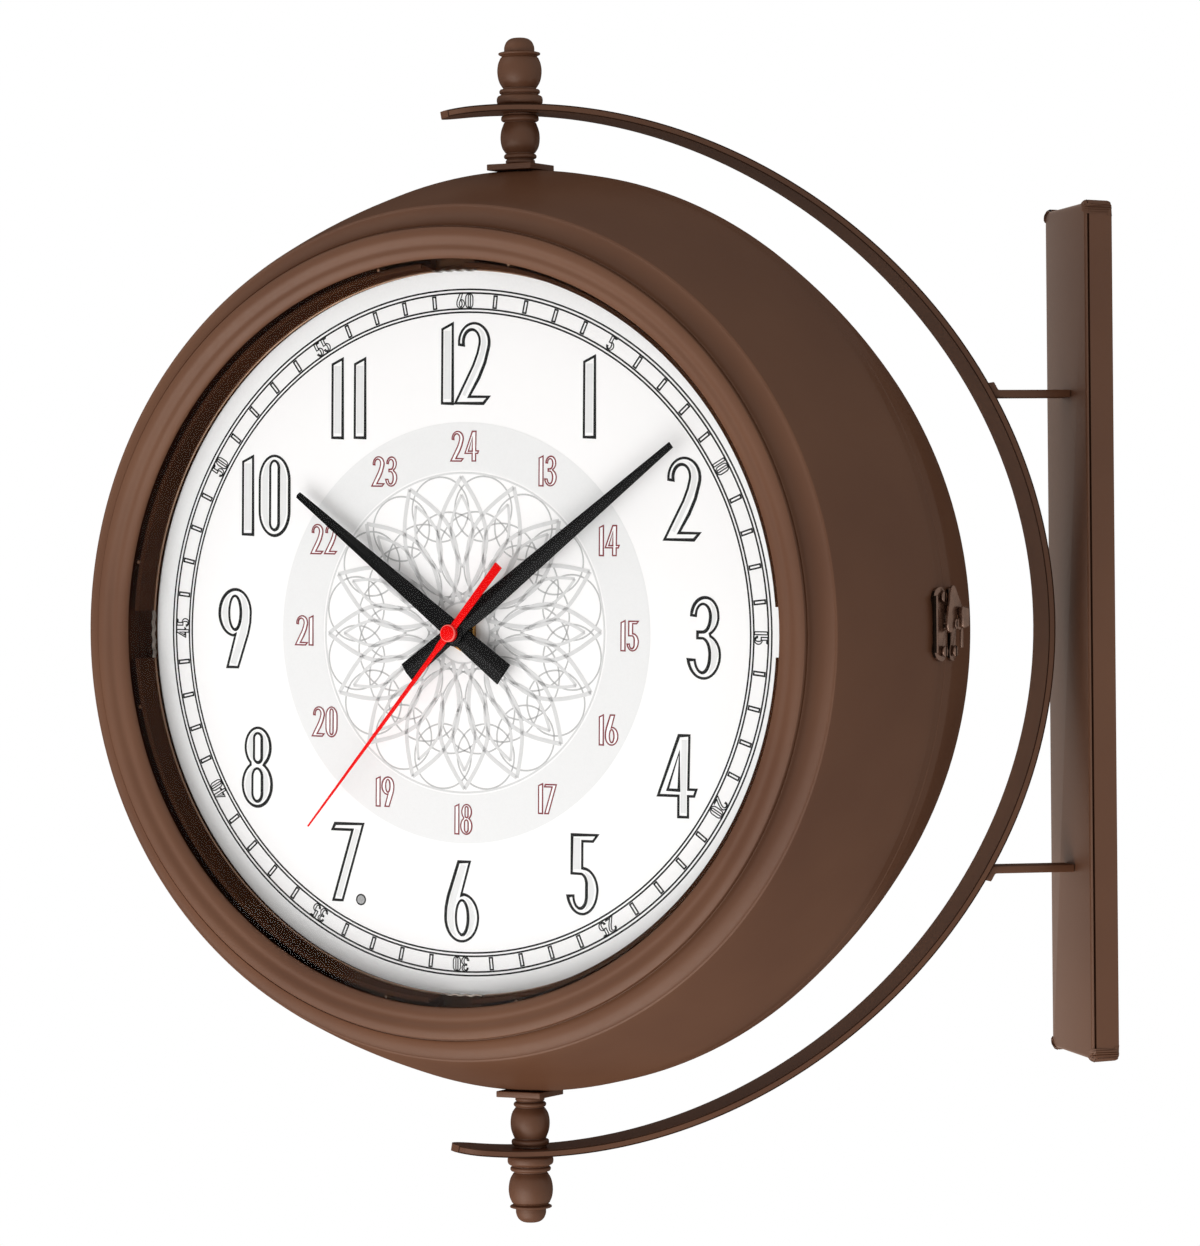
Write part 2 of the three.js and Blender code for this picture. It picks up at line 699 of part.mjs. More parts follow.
function hingePinSolid() {
  const half = leafHeight / 2;
  return upright(hingePinRadius, -half - 1, half + 1, -hingeRadius, 0)
    .add(upright(hingePinRadius + 0.9, half + seatGap, half + 1.6, -hingeRadius, 0));
}

// ---------------------------------------------------------------- hook latch
// A plate that follows the rim, cut to an outline drawn in [y, z] seen from the latch side.
function rimPlate(low, high, outline) {
  const radiusAt = (offset) => (Math.abs(offset) < bandHalf ? seamRadius : wallRadius(Math.abs(offset))) + seatGap;
  const bend = Math.sign(low + high) * bandHalf;
  const stops = [low, bend, high].sort((p, q) => p - q);
  const under = stops.map((offset) => [radiusAt(offset), offset]);
  const over = stops.map((offset) => [radiusAt(offset) + latchSheet, offset]).reverse();
  const sheet = spun([...under, ...over, under[0]], 2 * caseSides);
  return sheet.intersect(sideSlab(outline, seamRadius - 20, seamRadius + 20, 6));
}

// Tall plate, waisted between two round lobes.
function lobedOutline(nearY, farY) {
  const middle = (nearY + farY) / 2;
  const lobe = Math.abs(farY - nearY) / 2;
  const waist = lobe * 0.8;
  const top = latchMiddle + latchHeight / 2 - lobe;
  const foot = latchMiddle - latchHeight / 2 + lobe;
  const shape = new THREE.Shape();
  shape.absarc(middle, top, lobe, 0, turn(180));
  shape.lineTo(middle - waist, top - lobe);
  shape.lineTo(middle - waist, foot + lobe);
  shape.absarc(middle, foot, lobe, turn(180), turn(360));
  shape.lineTo(middle + waist, foot + lobe);
  shape.lineTo(middle + waist, top - lobe);
  return shape;
}

function stud(radius, low, high, y, z, sides = 12) {
  const body = new THREE.CylinderGeometry(radius, radius, high - low, sides).rotateZ(Math.PI / 2);
  return solid(body.translate((low + high) / 2, y, z));
}

const hookUnderside = seamRadius + seatGap + latchSheet + hookLift;
const hookTop = hookUnderside + hookSheet;
const screwRows = [latchMiddle + latchScrewSpread / 2, latchMiddle - latchScrewSpread / 2];
const latchSides = [['front', -latchFrontScrew], ['rear', latchRearScrew]];

// Radius of the case's outside over a screw at height z, y from the seam.
function screwSeat(y, z) {
  const radius = Math.abs(y) < bandHalf ? seamRadius : wallRadius(Math.abs(y));
  return Math.sqrt(radius ** 2 - z ** 2);
}

const screwBore = (y, z) => stud(screwShank + seatGap, seamRadius - 12, seamRadius + 12, y, z);

function withScrewBores(plate, y) {
  return screwRows.reduce((body, z) => body.subtract(screwBore(y, z)), plate);
}

function screwSolid(y, z) {
  const seat = screwSeat(y, z) + seatGap + latchSheet + seatGap;
  return stud(screwShank, seat - screwLength, seat + 0.4, y, z).add(stud(screwHead, seat, seat + 1, y, z));
}

function latchFrontSolid() {
  const plate = rimPlate(1, latchFrontReach, lobedOutline(-latchFrontReach, -1));
  const rollX = wallRadius(latchFrontReach) + seatGap + latchSheet;
  const roll = upright(rollRadius, latchMiddle - rollHeight / 2, latchMiddle + rollHeight / 2, rollX, -latchFrontReach + 0.6);
  const under = spun(ringOf(seamRadius - 10, seamRadius + seatGap + 0.4, 0, bandHalf), 2 * caseSides);
  const keep = stud(keepRadius, seamRadius - 4, hookUnderside - seatGap, keepY, keepZ).subtract(under);
  return withScrewBores(plate.add(roll).add(keep), -latchFrontScrew);
}

function latchRearSolid() {
  const plate = rimPlate(-latchRearReach, -1, lobedOutline(1, latchRearReach));
  const post = stud(rivetRadius, seamRadius + seatGap + 0.4, hookTop + runGap + 0.4, rivetY, latchMiddle);
  const head = stud(rivetHead, hookTop + runGap, hookTop + runGap + 0.9, rivetY, latchMiddle);
  return withScrewBores(plate, latchRearScrew).add(post).add(head);
}

// Three-cornered swing hook: a leg that reaches over the keep, and a raised thumb piece with its pin.
function hookSolid() {
  const z = latchMiddle;
  const shape = new THREE.Shape();
  shape.absarc(-0.3, z + 13, 2.3, turn(40), turn(165));
  shape.absarc(keepY, z - 1, 2.3, turn(170), turn(290));
  shape.lineTo(rivetY - 1, z - 3.2);
  shape.lineTo(rivetY + 3, z - 2.8);
  shape.lineTo(thumbFar, z + 0.5);
  shape.lineTo(thumbFar, z + 5.4);
  const plate = sideSlab(shape, hookUnderside, hookTop, 4);
  const ramp = polygon([
    [hookTop - 0.5, z + 13.5], [hookTop + 0.6, z + 13], [hookTop + thumbRise, z + 5.6],
    [hookTop + thumbRise, z - 2.2], [hookTop - 0.5, z - 2.2],
  ]);
  const clear = stud(rivetHead + runGap, hookTop, hookTop + thumbRise + 1, rivetY, z);
  const thumb = slab(ramp, thumbNear, thumbFar).subtract(clear);
  const pin = upright(0.9, z - 9, z - 1, hookTop + 0.2, thumbFar - 1.2, 8);
  const eye = stud(rivetRadius + runGap, hookUnderside - 1, hookTop + 1, rivetY, z);
  return plate.add(thumb).add(pin).subtract(eye);
}

// ---------------------------------------------------------------- assembly
buildWallChannel();
buildArc();
buildStrut('strut_upper', 1);
buildStrut('strut_lower', -1);

const head = new THREE.Group();
head.position.x = -pivotReach;
head.rotation.z = turn(-headTurn);
clock.add(head);

// Both ends of the pivot line are alike: the lower one is the upper one turned over.
for (const [end, overturn] of [['top', 0], ['bottom', 180]]) {
  const still = (body) => body.rotate([overturn, 0, 0]).translate([-pivotReach, 0, 0]);
  const turning = (body) => body.rotate([overturn, 0, 0]);
  const bush = upright(bushOuter, arcUnderside, arcTop, 0, 0, turnedSides)
    .subtract(upright(boreRadius, arcUnderside - 1, arcTop + 1));
  place(bracket, `pivot_bush_${end}`, still(bush), whiteNylon());
  place(head, `finial_${end}`, turning(finialSolid()), bronzePaint());
  place(head, `baluster_${end}`, turning(balusterSolid()), bronzePaint());
  place(head, `pivot_plate_${end}`, turning(pivotPlateSolid()), bronzePaint());
  place(head, `pivot_doubler_${end}`, turning(doublerSolid()), plainSteel());
  place(head, `spindle_${end}`, turning(upright(spindleRadius, spindleFoot, spindleTop)), plainSteel());
  const lockNut = hexNut(spindleNutAcross, doublerFoot - seatGap - spindleNutHeight, doublerFoot - seatGap, boreRadius);
  place(head, `spindle_nut_${end}`, turning(lockNut), plainSteel());
}

const frontHalf = withScrewBores(caseHalf(), -latchFrontScrew);
const rearHalf = withScrewBores(caseHalf().rotate([0, 0, 180]), latchRearScrew);
place(head, 'front_case', frontHalf, bronzePaint());
place(head, 'rear_case', rearHalf, bronzePaint());
buildSide(head, 'front', 0);
buildSide(head, 'rear', Math.PI);

place(head, 'hinge_leaf_front', hingeLeaf(1), bronzePaint());
place(head, 'hinge_leaf_rear', hingeLeaf(-1), bronzePaint());
place(head, 'hinge_pin', hingePinSolid(), plainSteel());
place(head, 'latch_plate_front', latchFrontSolid(), yellowBrass());
place(head, 'latch_plate_rear', latchRearSolid(), yellowBrass());
place(head, 'latch_hook', hookSolid(), yellowBrass());
for (const [side, y] of latchSides) {
  place(head, `latch_screw_${side}_upper`, screwSolid(y, screwRows[0]), yellowBrass());
  place(head, `latch_screw_${side}_lower`, screwSolid(y, screwRows[1]), yellowBrass());
}

export default clock;
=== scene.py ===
import math
from contextlib import contextmanager

import bpy
from mathutils import Matrix, Vector


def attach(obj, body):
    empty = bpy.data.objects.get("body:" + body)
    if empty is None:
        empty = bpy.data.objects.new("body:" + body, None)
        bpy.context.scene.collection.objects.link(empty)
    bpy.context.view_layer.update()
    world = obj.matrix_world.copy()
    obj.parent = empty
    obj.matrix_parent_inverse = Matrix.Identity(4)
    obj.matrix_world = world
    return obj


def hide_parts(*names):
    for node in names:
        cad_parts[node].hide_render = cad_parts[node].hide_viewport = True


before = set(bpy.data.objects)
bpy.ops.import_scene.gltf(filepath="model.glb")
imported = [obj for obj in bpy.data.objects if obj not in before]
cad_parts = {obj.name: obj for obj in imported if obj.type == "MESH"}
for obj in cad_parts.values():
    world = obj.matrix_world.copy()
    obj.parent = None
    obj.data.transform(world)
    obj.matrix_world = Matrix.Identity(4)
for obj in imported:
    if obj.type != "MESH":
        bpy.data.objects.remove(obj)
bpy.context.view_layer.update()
bpy.ops.object.select_all(action="DESELECT")
MM = 0.001

# ------------------------------------------------------------------ studio
# A white studio: seamless pale floor, two wide soft lamps low on the left, a weak one high at
# the side, and a white world behind. The camera is a long lens, a little round from square on.
scene = bpy.context.scene
scene.view_settings.view_transform = "Standard"
STUDIO_WHITE = "#ffffff"
FLOOR_COLOUR = "#e6e4e1"
FLOOR_HEIGHT = -2300
FLOOR_SIDE = 12000
FLOOR_GLOW = 0.8
ROOM_LEVEL = 0.5


def linear(code):
    values = [int(code[i : i + 2], 16) / 255 for i in (1, 3, 5)]
    return [v / 12.92 if v <= 0.04045 else ((v + 0.055) / 1.055) ** 2.4 for v in values] + [1]


def set_node(tree, node, settings=None, links=None):
    """Sets a node's inputs or options, and links inputs to sockets or to nodes' first outputs."""
    for key, value in (settings or {}).items():
        if isinstance(key, int) or key in node.inputs:
            node.inputs[key].default_value = value
        else:
            setattr(node, key, value)
    for key, source in (links or {}).items():
        tree.links.new(getattr(source, "outputs", [source])[0], node.inputs[key])
    return node


def add_node(tree, kind, settings=None, links=None):
    return set_node(tree, tree.nodes.new("ShaderNode" + kind), settings, links)


def new_material(name, empty=False):
    material = bpy.data.materials.new(name)
    material.use_nodes = True
    if empty:
        material.node_tree.nodes.clear()
    return material, material.node_tree


def seen_rays(tree):
    """1 for rays from the camera, from gloss and through glass, which see the white studio."""
    rays = add_node(tree, "LightPath").outputs
    seen = rays["Is Camera Ray"]
    for kind in ("Is Transmission Ray", "Is Glossy Ray"):
        seen = add_node(tree, "Math", {"operation": "MAXIMUM"}, {0: seen, 1: rays[kind]})
    return seen


world = bpy.data.worlds.new("white_studio")
scene.world = world
world.use_nodes = True
tree = world.node_tree
tree.nodes.clear()
room = add_node(tree, "Background", {"Color": linear("#f4f3f1"), "Strength": ROOM_LEVEL})
seen = add_node(tree, "Background", {"Color": linear(STUDIO_WHITE), "Strength": 1})
mix = add_node(tree, "MixShader", None, {0: seen_rays(tree), 1: room, 2: seen})
add_node(tree, "OutputWorld", None, {0: mix})

# Painted studio floor: matt, and bright enough to the eye to run into the white behind it.
floor_paint, tree = new_material("matt_studio_floor", True)
matt = add_node(tree, "BsdfDiffuse", {"Color": linear(FLOOR_COLOUR)})
level = add_node(tree, "Math", {"operation": "MULTIPLY", 1: FLOOR_GLOW}, {0: seen_rays(tree)})
glow = add_node(tree, "Emission", {"Color": linear(STUDIO_WHITE)}, {"Strength": level})
both = add_node(tree, "AddShader", None, {0: matt, 1: glow})
add_node(tree, "OutputMaterial", None, {0: both})
bpy.ops.mesh.primitive_plane_add(size=FLOOR_SIDE * MM, location=(0, 0, FLOOR_HEIGHT * MM))
floor = bpy.context.object
floor.name = "studio_floor"
floor.data.materials.append(floor_paint)

# Soft lamps: name, side, power and where it stands, in metres. All point at the clock's middle.
CLOCK_MIDDLE = Vector((-0.25, 0, 0))
for name, side, power, stand in (
    ("key_left", 2.2, 24, (-1.3, -1.4, -1.2)),
    ("side_left", 2, 22, (-1.85, -0.65, -1.1)),
    ("top_left", 1.6, 5, (-2.02, 0, 1.77)),
):
    bpy.ops.object.light_add(type="AREA", location=stand)
    lamp = bpy.context.object
    lamp.name = name
    lamp.data.size = side
    lamp.data.energy = power
    lamp.rotation_euler = (CLOCK_MIDDLE - Vector(stand)).to_track_quat("-Z", "Y").to_euler()

CAMERA_AT = Vector((-0.59132, -2.04281, 0.02536))
CAMERA_LENS, CAMERA_SENSOR, FARTHEST_SEEN = 147.1, 36, 50
CAMERA_AZIMUTH, CAMERA_ELEVATION, CAMERA_ROLL = 10.372, -0.619, -0.574
azimuth, elevation = math.radians(CAMERA_AZIMUTH), math.radians(CAMERA_ELEVATION)
forward = Vector((
    math.sin(azimuth) * math.cos(elevation),
    math.cos(azimuth) * math.cos(elevation),
    math.sin(elevation),
))
level_right = forward.cross(Vector((0, 0, 1))).normalized()
level_up = level_right.cross(forward)
roll = math.radians(CAMERA_ROLL)
right = math.cos(roll) * level_right + math.sin(roll) * level_up
up = math.cos(roll) * level_up - math.sin(roll) * level_right
bpy.ops.object.camera_add(location=CAMERA_AT)
camera = bpy.context.object
camera.name = "camera"
camera.rotation_euler = Matrix((right, up, -forward)).transposed().to_euler()
camera.data.sensor_fit = "HORIZONTAL"
camera.data.sensor_width = CAMERA_SENSOR
camera.data.lens = CAMERA_LENS
camera.data.clip_end = FARTHEST_SEEN
scene.camera = camera


# ------------------------------------------------------------------ wall channel and wall plate
# A shallow pan folded from 1.5 mm steel sheet and painted bronze brown. It pushes over the
# galvanised wall plate, which four screws hold to the wall.
CHANNEL_WIDTH, CHANNEL_HEIGHT, CHANNEL_DEPTH = 62, 364.6, 12
CHANNEL_DROP = 2.8
CHANNEL_CORNER, CHANNEL_EDGE, CHANNEL_SHEET = 3, 1.2, 1.5
FOLD_STEP, FOLD_WIDTH, FOLD_DEPTH = 1.3, 0.8, 0.8
SEAT_GAP = 0.3
GRAZE_SHARE = 0.6
AS_IT_IS = Matrix.Identity(4)


def surface_finish(
    name, tones, cloud, grain, relief, roughness, metallic=0.0, gloss=0.07, gloss_tone="#a89284", graze=0
):
    """A finish whose colour drifts between two tones over clouds this many mm wide, with a fine
    relief of this grain and depth in mm. A coat's gloss is a thin, even share of the light, and
    grows towards grazing where graze gives the coat's refractive index."""
    finish, tree = new_material(name)
    place = add_node(tree, "TexCoord").outputs["Object"]
    clouds = add_node(
        tree, "TexNoise", {"Scale": 1000 / cloud, "Detail": 3.0, "Roughness": 0.55}, {"Vector": place}
    )
    ramp = add_node(tree, "ValToRGB", None, {"Fac": clouds})
    for stop, position, tone in zip(ramp.color_ramp.elements, (0.3, 0.72), tones):
        stop.position = position
        stop.color = linear(tone)
    peel = add_node(tree, "TexNoise", {"Scale": 1000 / grain, "Detail": 2.0}, {"Vector": place})
    rough = add_node(
        tree, "MapRange",
        {"From Min": 0.3, "From Max": 0.7, "To Min": roughness - 0.05, "To Max": roughness + 0.06},
        {"Value": peel},
    )
    bump = add_node(tree, "Bump", {"Strength": 0.5, "Distance": relief * MM}, {"Height": peel})
    links = {"Base Color": ramp, "Roughness": rough, "Normal": bump}
    shader = set_node(tree, tree.nodes["Principled BSDF"], {"Metallic": metallic}, links)
    if metallic < 0.5:
        shader.inputs["Specular IOR Level"].default_value = 0
        satin = add_node(
            tree, "BsdfAnisotropic", {"Color": linear(gloss_tone)}, {"Roughness": rough, "Normal": bump}
        )
        coat = add_node(tree, "MixShader", {0: gloss}, {1: shader, 2: satin})
        if graze:
            fresnel = add_node(tree, "Fresnel", {"IOR": graze}, {"Normal": bump})
            settings = {"operation": "MULTIPLY_ADD", 1: GRAZE_SHARE, 2: gloss}
            set_node(tree, coat, None, {0: add_node(tree, "Math", settings, {0: fresnel})})
        set_node(tree, tree.nodes["Material Output"], None, {"Surface": coat})
    return finish


# Satin bronze solvent paint, sprayed over primer: soft gloss, faint clouds in the brown, and an
# orange peel about 2 mm across.
case_paint = surface_finish(
    "satin_bronze_paint", ("#5a3928", "#694632"), 110, 2, 0.006, 0.38, 0.0, 0.04, "#d4c6bc"
)
# The same brown on the channel as a powder coat: glossier, so it turns pale towards grazing.
powder_coat = surface_finish(
    "satin_bronze_powder_coat", ("#5a3927", "#684531"), 110, 2, 0.006, 0.42, 0.0, 0.04, "#d0c2b8", 1.35
)
# Painted shade: a dark brown laid on the channel's fold groove and along the arc bar's corners, where shadow
# lines fall.
painted_shade_brown = surface_finish("painted_shade_in_folds_and_corners", ("#2a180f", "#372217"), 20, 1, 0.004, 0.45, 0.0, 0.02)
# Hot-dip galvanised sheet: dull grey zinc in crystals about 8 mm across.
galvanised = surface_finish("galvanised_steel", ("#83878a", "#a7abad"), 8, 3, 0.01, 0.42, 1.0)


def only(piece):
    """Makes this the one selected and active object."""
    bpy.ops.object.select_all(action="DESELECT")
    piece.select_set(True)
    bpy.context.view_layer.objects.active = piece


def face_out():
    """Turns every face of the mesh outwards."""
    bpy.ops.mesh.select_all(action="SELECT")
    bpy.ops.mesh.normals_make_consistent(inside=False)


@contextmanager
def edit_mode(select="SELECT"):
    """Edit mode, with all of the mesh selected, none of it, or what was selected before."""
    bpy.ops.object.mode_set(mode="EDIT")
    if select:
        bpy.ops.mesh.select_all(action=select)
    yield
    bpy.ops.object.mode_set(mode="OBJECT")


def block(size, middle):
    """A box of this size about this point, in mm."""
    bpy.ops.mesh.primitive_cube_add(size=1, location=[value * MM for value in middle])
    piece = bpy.context.object
    piece.scale = [value * MM for value in size]
    bpy.ops.object.transform_apply(location=True, scale=True)
    return piece


def thicken(piece, thickness, offset=-1):
    """Gives a surface its sheet's thickness, to its inner side unless told."""
    sheet = piece.modifiers.new("sheet", "SOLIDIFY")
    sheet.thickness = thickness * MM
    sheet.offset = offset
    bpy.ops.object.modifier_apply(modifier="sheet")


def soften(piece, width, segments=2, angle=30):
    """Breaks the piece's sharp edges, as paint and tumbling do."""
    edge = piece.modifiers.new("soft_edges", "BEVEL")
    edge.width = width * MM
    edge.segments = segments
    edge.limit_method = "ANGLE"
    edge.angle_limit = math.radians(angle)
    edge.harden_normals = False


def finished(piece, name, material, angle=35):
    """Applies what is left on the piece, smooths it and gives it its name and finish."""
    only(piece)
    piece.name = name
    piece.data.name = name
    bpy.ops.object.transform_apply(location=True, rotation=True, scale=True)
    for modifier in list(piece.modifiers):
        bpy.ops.object.modifier_apply(modifier=modifier.name)
    bpy.ops.object.shade_smooth_by_angle(angle=math.radians(angle))
    piece.data.materials.clear()
    piece.data.materials.append(material)
    return piece


def repaint(piece, material, chosen):
    """Gives the faces that pass this test a second material."""
    piece.data.materials.append(material)
    for facet in piece.data.polygons:
        facet.material_index = int(chosen(facet))


def set_in_place(piece, matrix, body, nodes):
    """Puts the piece's mesh where the piece belongs, and hands it to its body and nodes."""
    piece.data.transform(matrix)
    piece.data.update()
    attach(piece, body)
    if nodes:
        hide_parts(*nodes)


face = -(CHANNEL_DEPTH + SEAT_GAP)
channel = block((CHANNEL_DEPTH, CHANNEL_WIDTH, CHANNEL_HEIGHT), ((face - SEAT_GAP) / 2, 0, -CHANNEL_DROP))
with edit_mode("DESELECT"):
    bpy.ops.mesh.select_mode(type="EDGE")
for width, segments, chosen in (
    (CHANNEL_CORNER, 6, lambda a, b: abs(a.x - b.x) > 5 * MM),
    (CHANNEL_EDGE, 4, lambda a, b: max(a.x, b.x) < (face + 1) * MM),
):
    for vertex in channel.data.vertices:
        vertex.select = False
    for edge in channel.data.edges:
        edge.select = chosen(*(channel.data.vertices[i].co for i in edge.vertices))
    with edit_mode(None):
        bpy.ops.mesh.bevel(offset=width * MM, segments=segments, affect="EDGES")
with edit_mode("DESELECT"):
    bpy.ops.mesh.select_mode(type="FACE")
for side in channel.data.polygons:
    side.select = side.normal.x > 0.9 and side.center.x > -1 * MM
with edit_mode(None):
    bpy.ops.mesh.delete(type="FACE")
# The folded edge shows as a fine line round the pan, just behind its front face.
with edit_mode():
    for step in (0, FOLD_WIDTH / 2, FOLD_WIDTH):
        bpy.ops.mesh.select_all(action="SELECT")
        bpy.ops.mesh.bisect(plane_co=((face + FOLD_STEP + step) * MM, 0, 0), plane_no=(1, 0, 0))
fold_middle = face + FOLD_STEP + FOLD_WIDTH / 2
for vertex in channel.data.vertices:
    on_side = abs(vertex.co.y) > (CHANNEL_WIDTH / 2 - 2) * MM
    if on_side and abs(vertex.co.x / MM - fold_middle) < 0.01:
        vertex.co.y -= math.copysign(FOLD_DEPTH, vertex.co.y) * MM
thicken(channel, CHANNEL_SHEET)
for vertex in channel.data.vertices:
    vertex.co.x = min(vertex.co.x, -SEAT_GAP * MM)
finished(channel, "painted_channel", powder_coat)
fold_floor = (CHANNEL_WIDTH / 2 - FOLD_DEPTH - 0.1) * MM


def in_fold(facet):
    return abs(facet.center.x / MM - fold_middle) < FOLD_WIDTH / 2 + 0.05 and abs(facet.center.y) > fold_floor


# Painted shade: the fold groove's faces take the dark brown.
repaint(channel, painted_shade_brown, in_fold)
set_in_place(channel, AS_IT_IS, "bracket", ["back_channel"])


def given(node, material):
    """A CAD node that stays takes a finish."""
    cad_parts[node].data.materials.clear()
    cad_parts[node].data.materials.append(material)


given("wall_plate", galvanised)

# ------------------------------------------------------------------ bent arc
# Flat steel bar, 25 x 3 mm, bent to a deep half circle round the head, its ends ground round
# past the holes for the two pivots, and painted with the rest.
PIVOT_REACH = 249.6
ARC_RADIUS, ARC_DEEPENING, ARC_SQUARENESS = 223.4, 3.4, 1.4
BAR_WIDTH, BAR_SHEET = 25, 3
BAR_ROWS, BAR_COLUMNS, CROWDING = 192, 12, 1.35
CORNER_SHADE_WIDTH = 0.55
ARC_END_REACH = 34
BUSH_RADIUS = 5.4


def arc_point(angle):
    radius = ARC_RADIUS + ARC_DEEPENING * math.cos(2 * angle) + ARC_SQUARENESS * math.cos(4 * angle)
    return Vector((radius * math.cos(angle), 0, radius * math.sin(angle)))


def solved(low, high, too_low):
    """Halves the way between two values, towards where the test turns false."""
    for _ in range(40):
        middle = (low + high) / 2
        low, high = (middle, high) if too_low(middle) else (low, middle)
    return low


def rod(radius, length, middle, sides=48, lying=False):
    """A round rod about this point, in mm, upright or lying along X."""
    bpy.ops.mesh.primitive_cylinder_add(
        vertices=sides, radius=radius * MM, depth=length * MM,
        location=[value * MM for value in middle], rotation=(0, math.pi / 2 if lying else 0, 0),
    )
    return bpy.context.object


def cut_away(piece, tool):
    """Cuts the tool's shape out of the piece."""
    only(piece)
    cut = piece.modifiers.new("cut", "BOOLEAN")
    cut.object = tool
    cut.operation = "DIFFERENCE"
    cut.solver = "EXACT"
    bpy.ops.object.modifier_apply(modifier="cut")
    bpy.data.objects.remove(tool)


bpy.ops.mesh.primitive_grid_add(x_subdivisions=BAR_ROWS, y_subdivisions=BAR_COLUMNS, size=2)
bar = bpy.context.object
half = BAR_WIDTH / 2
reach = solved(math.pi / 2, math.pi / 2 + 0.5, lambda angle: -arc_point(angle).x < ARC_END_REACH)
for vertex in bar.data.vertices:
    share, across = vertex.co.x, vertex.co.y
    angle = (1 - (1 - abs(share)) ** CROWDING) * reach
    past = -arc_point(angle).x - (ARC_END_REACH - half)
    width = half if past <= 0 else math.sqrt(max(half**2 - past**2, 0.0004))
    place = arc_point(angle if share > 0 else -angle)
    vertex.co = Vector((place.x - PIVOT_REACH, across * width, place.z)) * MM
with edit_mode():
    bpy.ops.mesh.remove_doubles(threshold=0.01 * MM)
arc_middle = Vector((-PIVOT_REACH * MM, 0, 0))
if sum(facet.normal.dot(facet.center - arc_middle) for facet in bar.data.polygons) < 0:
    with edit_mode():
        bpy.ops.mesh.flip_normals()
thicken(bar, BAR_SHEET)
cut_away(bar, rod(BUSH_RADIUS + SEAT_GAP, 500, (-PIVOT_REACH, 0, 0), 64))
finished(bar, "painted_arc", case_paint)
# Painted shade: a dark strip round each side face's edge, along the bar's corners, where shadow lines fall.
for facet in bar.data.polygons:
    facet.select = abs(facet.normal.y) > 0.5
with edit_mode(None):
    bpy.ops.mesh.select_mode(type="FACE")
    bpy.ops.mesh.inset(thickness=CORNER_SHADE_WIDTH * MM, depth=0)
repaint(bar, painted_shade_brown, lambda facet: abs(facet.normal.y) > 0.5 and not facet.select)
set_in_place(bar, AS_IT_IS, "bracket", ["bracket_arc"])

# ------------------------------------------------------------------ struts
# Two short flat bars, 16 x 3.2 mm, welded to the channel, each with a foot bent along the arc.
STRUT_WIDTH, STRUT_SHEET, STRUT_SPAN, STRUT_FOOT = 16, 3.2, 204, 5


def arc_normal(angle):
    along = (arc_point(angle + 1e-4) - arc_point(angle - 1e-4)).normalized()
    return Vector((along.z, 0, -along.x))


def beside_arc(angle):
    """The middle of a strut's sheet where it lies on the arc's outside."""
    return arc_point(angle) + arc_normal(angle) * (SEAT_GAP + STRUT_SHEET / 2)


for name, side in (("upper", 1), ("lower", -1)):
    height = side * STRUT_SPAN / 2 - CHANNEL_DROP
    angle = solved(-math.pi / 2, math.pi / 2, lambda angle: beside_arc(angle).z < height)
    normal, bend = arc_normal(angle), beside_arc(angle)
    along = Vector((-normal.z, 0, normal.x)) * side
    miter = Vector((-1, 0, 0)) - along
    # Cross sections from the wall to the foot's end: the middle, and the way to the upper face.
    sections = (
        (Vector((PIVOT_REACH - CHANNEL_DEPTH - 2 * SEAT_GAP, 0, height)), Vector((0, 0, 1))),
        (bend, miter / miter.z),
        (bend + along * STRUT_FOOT, normal * math.copysign(1, miter.dot(normal) * miter.z)),
    )
    bpy.ops.mesh.primitive_cube_add(size=2)
    strut = bpy.context.object
    with edit_mode():
        bpy.ops.mesh.bisect(plane_co=(0, 0, 0), plane_no=(1, 0, 0))
    for vertex in strut.data.vertices:
        share, across, rise = vertex.co
        middle, upper = sections[round(share) + 1]
        corner = middle + upper * rise * STRUT_SHEET / 2
        vertex.co = Vector((corner.x - PIVOT_REACH, across * STRUT_WIDTH / 2, corner.z)) * MM
    with edit_mode():
        face_out()
    soften(strut, 0.5)
    finished(strut, f"painted_strut_{name}", case_paint)
    set_in_place(strut, AS_IT_IS, "bracket", [f"strut_{name}"])

# ------------------------------------------------------------------ pivot columns
# Turned steel cap nuts and spacer columns, painted bronze. The columns stand on small square
# saddle plates on the case's rim, and a threaded rod runs through each pile.
HEAD_TURN = 38.24
HEAD = Matrix.Translation((-PIVOT_REACH * MM, 0, 0)) @ Matrix.Rotation(math.radians(-HEAD_TURN), 4, "Z")
OVERTURN = Matrix.Rotation(math.pi, 4, "X")


def spun_piece(outline, steps, axis):
    """Spins a closed outline of [radius, height] points about Z, or about the head's
    front-to-back line, where the height is the offset towards the front."""
    bpy.ops.mesh.primitive_circle_add(vertices=len(outline), radius=0.1)
    piece = bpy.context.object
    for vertex, (radius, height) in zip(piece.data.vertices, outline):
        vertex.co = Vector((radius, 0, height) if axis == "Z" else (radius, -height, 0)) * MM
    with edit_mode():
        line = (0, 0, 1) if axis == "Z" else (0, 1, 0)
        bpy.ops.mesh.spin(steps=steps, angle=2 * math.pi, center=(0, 0, 0), axis=line)
        bpy.ops.mesh.select_all(action="SELECT")
        bpy.ops.mesh.remove_doubles(threshold=0.004 * MM)
        bpy.ops.mesh.delete_loose()
        face_out()
    return piece


def rounded(points, rounds=2):
    """Cuts a turned outline's corners, except its first and last points, to soft curves."""
    for _ in range(rounds):
        cut = [points[0]]
        for (ax, ay), (bx, by) in zip(points, points[1:]):
            cut.append((ax * 0.75 + bx * 0.25, ay * 0.75 + by * 0.25))
            cut.append((ax * 0.25 + bx * 0.75, ay * 0.25 + by * 0.75))
        cut.append(points[-1])
        points = cut
    return points


